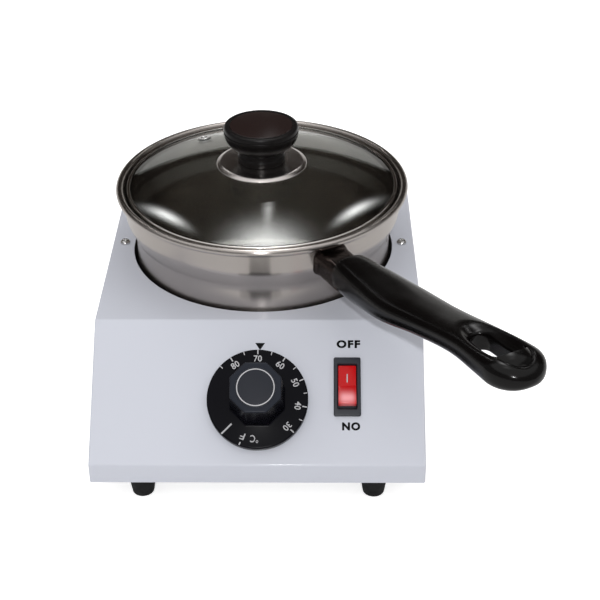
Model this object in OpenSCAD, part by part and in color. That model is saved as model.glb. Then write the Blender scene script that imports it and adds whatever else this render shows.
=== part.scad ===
// Electric chocolate melting pot: a sheet-steel housing with a sloped control panel, an
// electrically heated well, a stainless pan that lifts out by its handle, and a glass lid.
// Millimetres, +Z up, -Y to the user. The origin is on the pan's axis, in the plane of the
// base plate's underside; the rubber feet reach below it.

/* [Housing] */
// Width over the side walls
housing_w = 172; // [171:0.5:190]
// Pan axis to the front face
front_reach = 138.9; // [137:0.1:146]
// Pan axis to the front edge of the deck
deck_reach = 81.2; // [80.8:0.1:84]
// Pan axis to the back face
back_reach = 79.6; // [79.4:0.1:95]
// Height of the upright front strip
front_strip_h = 11; // [10:0.5:13]
// Height of the deck above the base plate's underside
deck_h = 62.1; // [61.5:0.1:72]
// Thickness of the steel sheet
sheet_t = 1; // [0.8:0.1:1.2]
// Outer radius of the sheet's bends
bend_r = 2; // [1.6:0.1:3]
// Width of the flange that carries the base plate
flange_w = 10; // [8:0.5:12]

/* [Feet] */
// Distance of the feet from the middle plane
foot_x = 60; // [50:1:68]
// Front feet, behind the front face
foot_front_inset = 9.4; // [9:0.1:16]
// Rear feet, before the back face
foot_rear_inset = 9.6; // [9:0.1:16]
// Height of a foot
foot_h = 12.8; // [10:0.2:16]
// Diameter of a foot at the base plate
foot_top_d = 15; // [13:0.5:17]
// Diameter of a foot at the table
foot_bottom_d = 11; // [10:0.5:12.5]

/* [Well and heater] */
// Play round the pan in the well
well_gap = 2.1; // [1.8:0.1:2.8]
// Depth of the well below its flange
well_depth = 39.6; // [36:0.1:41]
// Wall of the well
well_t = 1; // [0.8:0.1:1.2]
// Radius of the heating ring's middle line
heater_r = 45; // [40:0.5:50]
// Diameter of the heating tube
heater_d = 6.4; // [5.5:0.1:7]
// Diameter of the temperature bulb
bulb_d = 6; // [5:0.1:6.4]
// Length of the temperature bulb
bulb_l = 52; // [40:1:56]

/* [Pan] */
// Outer radius of the pan's wall in the well
pan_r = 71.4; // [70.8:0.1:71.8]
// Height of the pan over its rolled rim
pan_h = 81.5; // [78:0.1:90]
// Wall of the pan
pan_t = 0.8; // [0.7:0.1:1]
// Radius of the outer corner at the pan's bottom
pan_corner_r = 6; // [4:0.5:9]
// Thickness of the heat-spreading base
pan_base_t = 2.6; // [2:0.1:4]
// Height at which the flare starts, above the pan's bottom
flare_h = 53.5; // [48:0.5:56]
// Height of the lid's seat above the pan's bottom
seat_h = 66.5; // [64:0.5:69]
// Outer radius of the pan above the seat
collar_r = 76.6; // [76:0.1:77.5]
// Radius of the rolled rim's tube
rim_tube_r = 2.1; // [1.8:0.1:2.4]
// How far the rolled rim's middle line lies outside the collar
rim_out = 2.4; // [2:0.1:3.4]

/* [Handle] */
// Direction of the handle, from +X towards +Y
handle_angle = -60.5; // [-75:0.5:-45]
// Length of the grip
grip_l = 152; // [130:1:170]
// Pan's collar to the near end of the grip
ferrule_l = 18.4; // [16.4:0.1:22.4]
// Greatest width of the grip
grip_w = 30; // [26:0.5:34]
// Greatest thickness of the grip
grip_t = 19.4; // [17:0.2:21]
// Rise of the grip's middle line from its near end to its far end
grip_rise = 24; // [18:0.5:30]
// Length of the hanging slot
hang_l = 29; // [22:0.5:31]
// Width of the hanging slot
hang_w = 10.5; // [9:0.5:12]

/* [Lid] */
// Radius of the glass dome's outer face
dome_r = 217; // [200:1:240]
// Thickness of the glass
glass_t = 4; // [3.5:0.1:4.4]
// Width of the play between the lid's skirt and the pan's collar
lid_gap = 0.5; // [0.3:0.1:0.8]
// Height of the lid's steel rim over its skirt
lid_rim_h = 14; // [13.6:0.1:15]
// Radius of the plate under the lid's knob
plate_r = 25.1; // [23:0.5:28]
// Greatest radius of the lid's knob
knob_r = 20.5; // [18:0.5:22]
// Height of the lid's knob
knob_h = 20.7; // [18:0.1:24]

/* [Controls] */
// Thermostat dial, down the panel from the deck's edge
dial_down = 43.55; // [42.5:0.05:45]
// Radius of the dial's skirt
dial_r = 26; // [24:0.5:27]
// Height of the dial's skirt above the panel
skirt_h = 6; // [5:0.1:7]
// Width over the flats of the eight-sided dial boss at its foot
boss_w = 27.6; // [26:0.2:29]
// Height of the boss above the skirt
boss_h = 25.5; // [20:0.5:28]
// Switch, right of the middle plane
switch_x = 46.1; // [44:0.1:52]
// Switch, down the panel from the deck's edge
switch_down = 36.1; // [33:0.1:40]
// Width of the switch's bezel
bezel_w = 14; // [13.4:0.1:15]
// Length of the switch's bezel
bezel_l = 31; // [30:0.1:33]

/* [Mains inlet] */
// Bore of the cable gland
gland_bore_d = 7.2; // [6:0.1:8]
// Gland, left of the middle plane
gland_x = 58; // [50:0.5:64]
// Height of the gland above the base plate's underside
gland_z = 22; // [18:0.5:30]

/* [Hidden] */
$fn = 96;

// How far a cutting shape runs past the face it cuts
overrun = 1;
// Radial play of a turning fit, and of a screw or a body in its hole
turn_gap = 0.05;
hole_gap = 0.2;
// How far joined shapes run into each other
join_in = 0.5;

// Metric fasteners: shank radius, head radius, head height, nut across flats, nut height
m3_r = 1.5;
m3_head_r = 2.8;
m3_head_h = 2;
m3_nut_w = 5.5;
m3_nut_h = 2.4;
m4_r = 2;
m4_nut_w = 7;
m4_nut_h = 3.2;
m5_r = 2.5;
m5_nut_w = 8;
m5_nut_h = 4;
cross_w = 0.8;
cross_l = 3.2;
cross_d = 0.9;
head_top_share = 0.7;

// Housing
side_x = housing_w / 2;
inner_x = side_x - sheet_t;
panel_run = front_reach - deck_reach;
panel_rise = deck_h - front_strip_h;
panel_angle = atan2(panel_rise, panel_run);
side_view = [[-front_reach, 0], [-front_reach, front_strip_h], [-deck_reach, deck_h],
    [back_reach, deck_h], [back_reach, 0]];
bend_on_share = [0, 1, 1, 1, 0];
deck_from = -deck_reach + bend_r;
deck_to = back_reach - bend_r;
plate_play = 0.4;
base_screw_l = 6;
base_screw_inset = 5.6;
base_screw_end = 40;
base_screw_mid = 35;
base_screw_rear = 22;
base_screw_y = [-front_reach + base_screw_end, -base_screw_mid, back_reach - base_screw_rear];
vent_slot_l = 36;
vent_slot_w = 3.5;
vent_slot_pitch = 9;
vent_slot_n = 5;
vent_front_x = 28;
vent_front_y = 70;
vent_rear_y = 36;
vent_centres = [[vent_front_x, -vent_front_y], [0, vent_rear_y]];
foot_y = [-front_reach + foot_front_inset, back_reach - foot_rear_inset];
foot_edge_r = 1.1;
foot_recess_r = 3.1;
foot_recess_h = 6;
foot_screw_l = 12.4;
foot_notch_gap = 1.4;
foot_notch_r = m3_nut_w / 2 / cos(30) + foot_notch_gap;

// Well, from the deck downwards
deck_hole_r = pan_r + well_gap;
well_r = deck_hole_r - hole_gap;
well_screw_off = 5.5;
well_screw_x = deck_hole_r + well_screw_off;
well_flange_edge = 4.5;
well_flange_r = well_screw_x + well_flange_edge;
well_flange_z = deck_h - sheet_t;
well_floor_z = well_flange_z - well_depth;
well_under_z = well_floor_z - well_t;
well_screw_l = 8;
band_t = 3.1;
band_low = 3.5;
band_high = 34;
strap_w = 20;
strap_t = 1.2;
strap_over = 6;
strap_z = well_under_z - heater_d;
stud_l = 12.6;
element_gap_angle = 26;
terminal_sleeve_r = 3.7;
terminal_sleeve_l = 11;
terminal_pin_r = 1.5;
terminal_pin_l = 4;
bulb_y = 22;
clip_t = 0.8;
clip_l = 12;
clip_ear = 5;
cutout_y = -24;
cutout_cap_r = 7.6;
cutout_cap_h = 4.4;
cutout_body_r = 8.2;
cutout_body_h = 5.5;
cutout_ear_w = 8;
cutout_ear_x = 12;
cutout_ear_t = 0.8;
cutout_tab_h = 4.6;
cutout_tab_x = 4;
cutout_stud_l = 4.6;
tab_w = 4.8;
tab_t = 0.8;

// Pan, upwards from the well's floor
pan_z = well_floor_z;
rim_r = collar_r + rim_out;
rim_z = pan_z + pan_h - rim_tube_r;
seat_z = pan_z + seat_h;
seat_w = 1.5;
seat_in_r = collar_r - pan_t - seat_w;
flare_drop = 1.6;
flare_top_z = seat_z - flare_drop;
flare_in_l = 8.2;
collar_drop = 3.6;
collar_top_z = rim_z - collar_drop;

// Handle, drawn along +X from the pan's axis and then turned to its direction
grip_start = collar_r + ferrule_l;
bracket_up = 69;
bracket_z = pan_z + bracket_up;
bracket_t = 3;
bracket_w = 13;
bracket_end = 24;
weld_pad_w = 12;
weld_pad_h = 7;
ferrule_w = 18.6;
ferrule_h = 15;
ferrule_flare = 1.2;
ferrule_t = 0.8;
ferrule_up = 68.2;
ferrule_z = pan_z + ferrule_up;
grip_up = 71;
grip_z = pan_z + grip_up;
grip_tip = 17;
grip_screw_in = 13;
screw_s = grip_start + grip_screw_in;
handle_screw_head_r = 3.6;
handle_screw_l = 7;
hang_mid_share = 0.81;
hang_station = 6;
dish_l = 52;
dish_w = 19;
dish_d = 5.4;
// Where the grip's sections stand, and their width, thickness and rise, as shares of its sizes
station_share = [0, 0.04, 0.16, 0.33, 0.52, 0.70, 0.84, 0.93, 1];
width_share = [0.70, 0.76, 0.88, 0.98, 0.86, 0.84, 0.95, 1, 1];
thick_share = [0.96, 1, 0.94, 0.80, 0.66, 0.66, 0.76, 0.84, 0.86];
rise_share = [0, 0.02, 0.12, 0.30, 0.58, 0.84, 0.96, 1, 1];
grip_slices = 30;
grip_sides = 28;
grip_square = 0.78;

// Lid
skirt_r = collar_r - pan_t - lid_gap;
lid_rim_top_z = seat_z + lid_rim_h;
lid_skirt_t = 0.8;
lid_depth = 2 * lid_rim_h;
lip_w = 1.9;
lip_t = 0.6;
glass_edge_r = skirt_r - lid_skirt_t - turn_gap;
lip_in_r = skirt_r - lip_w;
dome_centre_z = lid_rim_top_z - lip_t - turn_gap - sqrt(dome_r * dome_r - lip_in_r * lip_in_r);
dome_top_z = dome_centre_z + dome_r;
glass_hole_r = 3.4;
lid_screw_r = m4_r;
plate_t = 0.6;
plate_lift = 1.4;
plate_flat_r = 15;
plate_roll_r = 0.9;
plate_roll_x = plate_r - plate_roll_r;
plate_roll_z = dome_centre_z + sqrt(pow(dome_r + plate_roll_r + turn_gap, 2) - pow(plate_roll_x, 2));
knob_z = dome_top_z + plate_lift;
knob_foot_r = 13;
knob_foot_h = 2.6;
knob_neck_r = 12.3;
knob_neck_h = 6.4;
knob_wide_h = 17.4;
knob_groove_r = 0.5;
knob_cap_r = 17.2;
knob_cap_t = 1.2;
knob_bore_h = 12;
vent_reach = 57.4;
vent_angle = 127.6;
vent_r = 3.2;
vent_bore_r = 1.6;
vent_flange_r = 4.2;
vent_flange_t = 0.7;
lid_washer_r = 8;
lid_washer_t = 1;
lid_screw_head_r = 4;
lid_screw_head_h = 2.4;

// Thermostat, in the panel's own frame: its outer face is the plane of zero height
bush_r = 4.9;
bush_h = 3.2;
shaft_r = 3;
shaft_in = 12;
shaft_out = 24;
shaft_flat = 2.2;
thermostat_w = 40;
thermostat_l = 31;
thermostat_d = 22;
thermostat_bracket_w = 46;
thermostat_bracket_l = 24;
thermostat_bracket_t = 1.2;
thermostat_screw_x = 14;
thermostat_screw_l = 8;
thermostat_head_r = 3.8;
thermostat_head_h = 2.4;
thermostat_tab_x = 10;
thermostat_tab_l = 6;
thermostat_face = sheet_t + thermostat_bracket_t;
thermostat_back = thermostat_face + thermostat_d;

// Dial
dial_lift = 0.8;
dial_wall = 2;
boss_taper_share = 0.93;
boss_wall = 2.4;
hub_r = 5.6;
boss_top = skirt_h + boss_h;
badge_r = 10.2;
badge_t = 0.8;
badge_proud = 0.25;

// Switch
bezel_h = 1.8;
bezel_border = 2.15;
bezel_end = 3.7;
switch_inset = 0.8;
switch_end_inset = 1.7;
switch_d = 21;
switch_cavity_d = 12;
rocker_pivot = 2;
rocker_tilt = 11;
rocker_rise = 1;
rocker_half_l = 10.8;
rocker_edge_h = 4.2;
rocker_edge_in = 0.2;
rocker_keel = 7;
rocker_keel_half_l = 3;
rocker_pin_r = 1.2;
rocker_pin_l = 0.8;
rocker_side_gap = 0.25;
switch_tab_l = 7;
switch_tab_pitch = 8;
socket_w = bezel_w - 2 * bezel_border;
socket_l = bezel_l - 2 * bezel_end;
switch_w = bezel_w - 2 * switch_inset;
switch_l = bezel_l - 2 * switch_end_inset;

// Terminal block and earth stud on the base plate
block_x = -52;
block_in = 44;
block_y = -front_reach + block_in;
block_w = 30;
block_l = 17;
block_h = 14;
block_pitch = 10;
block_bore_r = 1.7;
block_bore_z = 5;
block_screw_r = 1.5;
block_screw_h = 6;
block_screw_drop = 0.5;
block_entry = 2;
earth_x = -20;
earth_in = 52;
earth_y = -front_reach + earth_in;
earth_stud_h = 11;

// Mains inlet
gland_thread_r = 7.6;
gland_thread_l = 11;
gland_hex_w = 19;
gland_hex_t = 4;
gland_neck_l = 5;
gland_neck_r = 7.5;
gland_cap_w = 19;
gland_cap_l = 9;
gland_nut_w = 20;
gland_nut_t = 4;

// Wires
wire_r = 0.95;
capillary_r = 0.8;
wire_sides = 8;
wire_steps = 4;
wire_skew = [0.31, 0.53, 0.79];
wire_gap = 0.1;
wire_lead = 6;
pin_lead = 2.4;
// The middle points of each wire's route, between its leads
live_route = [[-50, -72, 6], [-34, -66, 6], [-8, -64, 4], [18, -66, 4], [36, -74, 4],
    [45, -85, 4]];
switched_route = [[38, -79, 8], [24, -81, 6]];
cutout_route = [[-13, -76, 8], [-6, -60, 8], [-3, -46, 4], [-4, -32, 3]];
heater_route = [[6, -31, 3], [9, -38, 3]];
neutral_route = [[-61, -70, 6], [-50, -58, 6], [-30, -50, 5], [-16, -46, 3]];
earth_route = [[-38, -79, 5], [-31, -83, 3]];
capillary_route = [[41, 14, 10], [50, -6, 7], [53, -34, 7], [42, -58, 8], [34, -80, 14]];

function unit(v) = v / norm(v);
function outward(d) = [-d.y, d.x];
function corner_normal(pts, i) = let(
    n = len(pts),
    a = outward(unit(pts[i] - pts[(i + n - 1) % n])),
    b = outward(unit(pts[(i + 1) % n] - pts[i])))
    (a + b) / (1 + a * b);
function inset_points(pts, t) = [for (i = [0 : len(pts) - 1]) pts[i] - t * corner_normal(pts, i)];
function bend_reach(pts, i, r) = let(
    n = len(pts),
    a = unit(pts[i] - pts[(i + n - 1) % n]),
    b = unit(pts[(i + 1) % n] - pts[i]))
    r * tan(acos(a * b) / 2);
// A point of the panel's frame, in the part's frame
function panel_point(x, up, out) = [x,
    -deck_reach + up * cos(panel_angle) - out * sin(panel_angle),
    deck_h + up * sin(panel_angle) + out * cos(panel_angle)];

// A value between stations, on a smooth curve through them
function station(xs, x, i = 0) = (i >= len(xs) - 2 || x < xs[i + 1]) ? i : station(xs, x, i + 1);
function slope(xs, ys, i) = let(
    a = max(i - 1, 0),
    b = min(i + 1, len(xs) - 1))
    (ys[b] - ys[a]) / (xs[b] - xs[a]);
function smooth(xs, ys, x) = let(
    i = station(xs, x),
    h = xs[i + 1] - xs[i],
    u = (x - xs[i]) / h,
    p = (1 + 2 * u) * (1 - u) * (1 - u),
    q = u * (1 - u) * (1 - u),
    r = u * u * (3 - 2 * u),
    s = u * u * (u - 1))
    p * ys[i] + q * h * slope(xs, ys, i) + r * ys[i + 1] + s * h * slope(xs, ys, i + 1);

module on_panel(x, down) {
    translate([0, -deck_reach, deck_h])
        rotate([panel_angle, 0, 0])
            translate([x, -down, 0])
                children();
}

module along_handle() {
    rotate([0, 0, handle_angle])
        children();
}

// An outline with true arcs at its bends
module bent_outline(pts, radii) {
    last = len(pts) - 1;
    polygon([for (i = [0 : last]) let(
        n = last + 1,
        before = unit(pts[i] - pts[(i + last) % n]),
        after = unit(pts[(i + 1) % n] - pts[i]),
        reach = bend_reach(pts, i, radii[i]))
        each (reach > 0 ? [pts[i] - before * reach, pts[i] + after * reach] : [pts[i]])]);
    for (i = [0 : last])
        if (radii[i] > 0)
            translate(pts[i] - radii[i] * corner_normal(pts, i))
                circle(radii[i]);
}

module bent_box(width, inset, low) {
    pts = [for (p = inset_points(side_view, inset)) p.y > inset ? p : [p.x, low]];
    radii = (bend_r - inset) * bend_on_share;
    rotate([90, 0, 90])
        linear_extrude(width, center = true)
            bent_outline(pts, radii);
}

module hex(across, h) {
    cylinder(h = h, r = across / 2 / cos(30), $fn = 6);
}

module hex_nut(across, h, bore_r) {
    difference() {
        hex(across, h);
        translate([0, 0, -overrun])
            cylinder(h = h + 2 * overrun, r = bore_r);
    }
}

// A pan-head screw whose head stands on the plane of zero height and whose shank points down
module pan_screw(shank_r, shank_l, head_r, head_h) {
    difference() {
        union() {
            translate([0, 0, -shank_l])
                cylinder(h = shank_l + join_in, r = shank_r);
            cylinder(h = head_h / 2, r = head_r);
            translate([0, 0, head_h / 2])
                cylinder(h = head_h / 2, r1 = head_r, r2 = head_r * head_top_share);
        }
        for (a = [0, 90])
            rotate([0, 0, a])
                translate([-cross_l / 2, -cross_w / 2, head_h - cross_d])
                    cube([cross_l, cross_w, cross_d + overrun]);
    }
}

// A round tube swept along a smooth curve through the route's points
module swept(route, r) {
    knots = [for (i = [0 : len(route) - 1]) i];
    steps = (len(route) - 1) * wire_steps;
    path = [for (k = [0 : steps]) [for (c = [0 : 2])
        smooth(knots, [for (p = route) p[c]], k / wire_steps)]];
    rings = [for (k = [0 : steps]) let(
        t = unit(path[min(k + 1, steps)] - path[max(k - 1, 0)]),
        side = unit(cross(t, wire_skew)),
        up = cross(side, t))
        for (j = [0 : wire_sides - 1]) let(a = 360 * j / wire_sides)
            path[k] + r * (cos(a) * side + sin(a) * up)];
    loft_rings(rings, wire_sides, steps);
}

// Skins a row of rings, each of the same number of points, and closes both ends
module loft_rings(points, sides, last) {
    walls = [for (k = [0 : last - 1]) for (j = [0 : sides - 1]) let(
        a = k * sides + j,
        b = k * sides + (j + 1) % sides)
        each [[a, b, b + sides], [a, b + sides, a + sides]]];
    near = [for (j = [1 : sides - 2]) [0, j + 1, j]];
    far = [for (j = [1 : sides - 2]) [last * sides, last * sides + j, last * sides + j + 1]];
    polyhedron(points, concat(walls, near, far));
}

// The sheet that is folded over the front, the panel, the deck and the back, between the sides
module folded_sheet(from, to) {
    intersection() {
        difference() {
            bent_box(2 * inner_x, 0, 0);
            bent_box(2 * side_x, sheet_t, -overrun);
        }
        translate([-side_x, from, -overrun])
            cube([2 * side_x, to - from, 2 * deck_h]);
    }
}

// A strip of the flange round the housing's foot, under a folded sheet
module flange_strip(from) {
    translate([flange_w - inner_x, from, sheet_t])
        cube([2 * (inner_x - flange_w), flange_w, sheet_t]);
}

module flange_holes() {
    base_screw_places()
        translate([0, 0, sheet_t - overrun])
            cylinder(h = sheet_t + 2 * overrun, r = m3_r + turn_gap);
    foot_places()
        translate([0, 0, sheet_t - overrun])
            cylinder(h = sheet_t + 2 * overrun, r = foot_notch_r);
}

module housing_front() {
    color("#e9ebef")
        difference() {
            union() {
                folded_sheet(-front_reach - overrun, deck_from);
                flange_strip(-front_reach + sheet_t);
            }
            on_panel(0, dial_down) {
                through_panel(bush_r + hole_gap);
                for (x = [-thermostat_screw_x, thermostat_screw_x])
                    translate([x, 0, 0])
                        through_panel(m4_r + hole_gap);
            }
            on_panel(switch_x, switch_down)
                cube([switch_w + 2 * hole_gap, switch_l + 2 * hole_gap, 2 * (sheet_t + overrun)],
                    center = true);
            flange_holes();
        }
}

module housing_deck() {
    color("#e9ebef")
        difference() {
            translate([-inner_x, deck_from, deck_h - sheet_t])
                cube([2 * inner_x, deck_to - deck_from, sheet_t]);
            translate([0, 0, deck_h - sheet_t - overrun])
                cylinder(h = sheet_t + 2 * overrun, r = deck_hole_r);
            for (x = [-well_screw_x, well_screw_x])
                translate([x, 0, deck_h - sheet_t - overrun])
                    cylinder(h = sheet_t + 2 * overrun, r = m3_r + hole_gap);
        }
}

module housing_back() {
    color("#e9ebef")
        difference() {
            union() {
                folded_sheet(deck_to, back_reach + overrun);
                flange_strip(back_reach - sheet_t - flange_w);
            }
            translate([-gland_x, back_reach, gland_z])
                rotate([90, 0, 0])
                    cylinder(h = 2 * (sheet_t + overrun), r = gland_thread_r + hole_gap,
                        center = true);
            flange_holes();
        }
}

// The two cheeks, welded to the folded sheet, each with its own strip of the flange
module housing_sides() {
    length = front_reach + back_reach - 2 * sheet_t;
    color("#e9ebef")
        difference() {
            for (side = [-1, 1])
                union() {
                    translate([side * (inner_x + sheet_t / 2), 0, 0])
                        bent_box(sheet_t, 0, 0);
                    translate([side * (inner_x - flange_w / 2) - flange_w / 2,
                        -front_reach + sheet_t, sheet_t])
                        cube([flange_w, length, sheet_t]);
                }
            flange_holes();
        }
}

module through_panel(r) {
    cylinder(h = 2 * (sheet_t + overrun), r = r, center = true);
}

module base_screw_places() {
    x = inner_x - base_screw_inset;
    for (side = [-1, 1])
        for (y = base_screw_y)
            translate([side * x, y, 0])
                children();
}

module foot_places() {
    for (side = [-1, 1])
        for (y = foot_y)
            translate([side * foot_x, y, 0])
                children();
}

module slot(l, w, h) {
    for (side = [-1, 1])
        translate([side * (l - w) / 2, 0, 0])
            cylinder(h = h, d = w);
    translate([-(l - w) / 2, -w / 2, 0])
        cube([l - w, w, h]);
}

module base_plate() {
    front = -front_reach + sheet_t + plate_play;
    back = back_reach - sheet_t - plate_play;
    half = inner_x - plate_play;
    color("#b9bcc0")
        difference() {
            translate([-half, front, 0])
                cube([2 * half, back - front, sheet_t]);
            base_screw_places()
                translate([0, 0, -overrun])
                    cylinder(h = sheet_t + 2 * overrun, r = m3_r + hole_gap);
            foot_places()
                translate([0, 0, -overrun])
                    cylinder(h = sheet_t + 2 * overrun, r = m3_r + hole_gap);
            for (centre = vent_centres)
                for (i = [0 : vent_slot_n - 1])
                    translate([centre.x, centre.y + (i - (vent_slot_n - 1) / 2) * vent_slot_pitch,
                        -overrun])
                        slot(vent_slot_l, vent_slot_w, sheet_t + 2 * overrun);
        }
}

module base_screws() {
    color("silver")
        base_screw_places()
            rotate([180, 0, 0])
                pan_screw(m3_r, base_screw_l, m3_head_r, m3_head_h);
}

// A turned rubber foot: a tapering plug with a rounded tread and a recess for its screw
module rubber_foot() {
    top_r = foot_top_d / 2;
    low_r = foot_bottom_d / 2;
    color("#1b1b1d")
        difference() {
            rotate_extrude()
                polygon(concat([[0, 0], [top_r, 0]],
                    [for (a = [0 : 15 : 90]) [low_r - foot_edge_r * (1 - cos(a)),
                        -foot_h + foot_edge_r * (1 - sin(a))]],
                    [[0, -foot_h]]));
            translate([0, 0, -foot_h - overrun])
                cylinder(h = foot_recess_h + overrun, r = foot_recess_r);
            translate([0, 0, -foot_h - overrun])
                cylinder(h = foot_h + 2 * overrun, r = m3_r + hole_gap);
        }
}

module foot_front_left() { translate([-foot_x, foot_y[0], 0]) rubber_foot(); }
module foot_front_right() { translate([foot_x, foot_y[0], 0]) rubber_foot(); }
module foot_rear_left() { translate([-foot_x, foot_y[1], 0]) rubber_foot(); }
module foot_rear_right() { translate([foot_x, foot_y[1], 0]) rubber_foot(); }

module foot_screws() {
    color("silver")
        foot_places()
            translate([0, 0, -foot_h + foot_recess_h])
                rotate([180, 0, 0])
                    pan_screw(m3_r, foot_screw_l, m3_head_r, m3_head_h);
}

module foot_nuts() {
    color("silver")
        foot_places()
            translate([0, 0, sheet_t])
                hex_nut(m3_nut_w, m3_nut_h, m3_r + turn_gap);
}

module heating_well() {
    color("#9a9da1")
        difference() {
            union() {
                intersection() {
                    rotate_extrude()
                        polygon([[0, well_under_z], [well_r + well_t, well_under_z],
                            [well_r + well_t, well_flange_z - well_t],
                            [well_flange_r, well_flange_z - well_t],
                            [well_flange_r, well_flange_z], [well_r, well_flange_z],
                            [well_r, well_floor_z], [0, well_floor_z]]);
                    translate([-well_flange_r, -deck_reach + bend_r, 0])
                        cube([2 * well_flange_r, deck_reach + back_reach - 2 * bend_r, deck_h]);
                }
                translate([0, 0, well_under_z - stud_l])
                    cylinder(h = stud_l + well_t / 2, r = m5_r);
                for (x = [-cutout_ear_x, cutout_ear_x])
                    translate([x, cutout_y, well_under_z - cutout_stud_l])
                        cylinder(h = cutout_stud_l + well_t / 2, r = m3_r);
            }
            for (x = [-well_screw_x, well_screw_x])
                translate([x, 0, well_flange_z - well_t - overrun])
                    cylinder(h = well_t + 2 * overrun, r = m3_r + hole_gap);
        }
}

module well_screws() {
    color("silver")
        for (x = [-well_screw_x, well_screw_x])
            translate([x, 0, deck_h])
                pan_screw(m3_r, well_screw_l, m3_head_r, m3_head_h);
}

module well_nuts() {
    color("silver")
        for (x = [-well_screw_x, well_screw_x])
            translate([x, 0, well_flange_z - well_t - m3_nut_h])
                hex_nut(m3_nut_w, m3_nut_h, m3_r + turn_gap);
}

module insulation_band() {
    inner = well_r + well_t + turn_gap;
    color("#e8e2cf")
        translate([0, 0, well_under_z + band_low])
            difference() {
                cylinder(h = band_high - band_low, r = inner + band_t);
                translate([0, 0, -overrun])
                    cylinder(h = band_high - band_low + 2 * overrun, r = inner);
            }
}

module heating_element() {
    tube_z = well_under_z - heater_d / 2;
    color("#6d6a66") {
        translate([0, 0, tube_z])
            rotate([0, 0, -90 + element_gap_angle / 2])
                rotate_extrude(angle = 360 - element_gap_angle)
                    translate([heater_r, 0])
                        circle(d = heater_d, $fn = 32);
        for (side = [-1, 1])
            rotate([0, 0, -90 + side * element_gap_angle / 2])
                translate([heater_r, 0, 0]) {
                    translate([0, 0, well_under_z - terminal_sleeve_l])
                        cylinder(h = terminal_sleeve_l, r = terminal_sleeve_r, $fn = 32);
                    translate([0, 0, well_under_z - terminal_sleeve_l - terminal_pin_l])
                        cylinder(h = terminal_pin_l + join_in, r = terminal_pin_r, $fn = 32);
                }
    }
}

module element_strap() {
    half = heater_r + strap_over;
    color("#a7a9ac")
        translate([0, 0, strap_z - strap_t])
            difference() {
                translate([-half, -strap_w / 2, 0])
                    cube([2 * half, strap_w, strap_t]);
                translate([0, 0, -overrun])
                    cylinder(h = strap_t + 2 * overrun, r = m5_r + hole_gap);
            }
}

module strap_nut() {
    color("silver")
        translate([0, 0, strap_z - strap_t - m5_nut_h])
            hex_nut(m5_nut_w, m5_nut_h, m5_r + turn_gap);
}

module sensor_bulb() {
    color("#b87333")
        translate([-bulb_l / 2, bulb_y, well_under_z - bulb_d / 2])
            rotate([0, 90, 0])
                cylinder(h = bulb_l, d = bulb_d);
}

// A sheet saddle that presses the bulb to the well's floor
module bulb_clip() {
    r = bulb_d / 2 + turn_gap;
    color("#a7a9ac")
        translate([0, bulb_y, well_under_z])
            rotate([90, 0, 90])
                linear_extrude(clip_l, center = true)
                    difference() {
                        union() {
                            translate([0, -bulb_d / 2])
                                circle(r + clip_t);
                            translate([-r - clip_ear, -clip_t])
                                square([2 * (r + clip_ear), clip_t]);
                            translate([-r - clip_t, -bulb_d / 2])
                                square([2 * (r + clip_t), bulb_d / 2]);
                        }
                        translate([0, -bulb_d / 2])
                            circle(r);
                        translate([-r, -bulb_d / 2])
                            square([2 * r, bulb_d]);
                        translate([-r - clip_t - overrun, 0])
                            square([2 * (r + clip_t + overrun), bulb_d]);
                    }
}

module capillary_tube() {
    bulb_end = [bulb_l / 2, bulb_y, well_under_z - bulb_d / 2];
    body_side = panel_point(thermostat_w / 2, -dial_down, -thermostat_back + thermostat_d / 2);
    color("#b87333")
        swept(concat(leads(bulb_end, rightward, wire_lead), capillary_route,
            leads_in(body_side, rightward, wire_lead)), capillary_r);
}

module thermal_cutout() {
    top = well_under_z;
    color("#2c2a28")
        translate([0, cutout_y, 0])
            difference() {
                union() {
                    translate([0, 0, top - cutout_cap_h])
                        cylinder(h = cutout_cap_h, r = cutout_cap_r);
                    translate([0, 0, top - cutout_cap_h - cutout_body_h])
                        cylinder(h = cutout_body_h, r = cutout_body_r);
                    translate([-cutout_ear_x - cutout_ear_w / 2, -cutout_ear_w / 2,
                        top - cutout_ear_t])
                        cube([2 * cutout_ear_x + cutout_ear_w, cutout_ear_w, cutout_ear_t]);
                    for (x = [-cutout_tab_x, cutout_tab_x])
                        translate([x - tab_t / 2, -tab_w / 2,
                            top - cutout_cap_h - cutout_body_h - cutout_tab_h])
                            cube([tab_t, tab_w, cutout_tab_h + join_in]);
                }
                for (x = [-cutout_ear_x, cutout_ear_x])
                    translate([x, 0, top - cutout_ear_t - overrun])
                        cylinder(h = cutout_ear_t + 2 * overrun, r = m3_r + hole_gap);
            }
}

module cutout_nuts() {
    color("silver")
        for (x = [-cutout_ear_x, cutout_ear_x])
            translate([x, cutout_y, well_under_z - cutout_ear_t - m3_nut_h])
                hex_nut(m3_nut_w, m3_nut_h, m3_r + turn_gap);
}

module thermostat_body() {
    bore_h = thermostat_face + shaft_in + hole_gap;
    color("#c9b48c")
        on_panel(0, dial_down)
            difference() {
                union() {
                    translate([-thermostat_w / 2, -thermostat_l / 2, -thermostat_back])
                        cube([thermostat_w, thermostat_l, thermostat_d]);
                    for (x = [-thermostat_tab_x, thermostat_tab_x])
                        translate([x - tab_w / 2, -tab_t / 2, -thermostat_back - thermostat_tab_l])
                            cube([tab_w, tab_t, thermostat_tab_l + join_in]);
                }
                translate([0, 0, -bore_h])
                    cylinder(h = bore_h, r = shaft_r + turn_gap);
                for (x = [-thermostat_screw_x, thermostat_screw_x])
                    translate([x, 0, -thermostat_screw_l - hole_gap])
                        cylinder(h = thermostat_screw_l, r = m4_r + turn_gap);
            }
}

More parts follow.
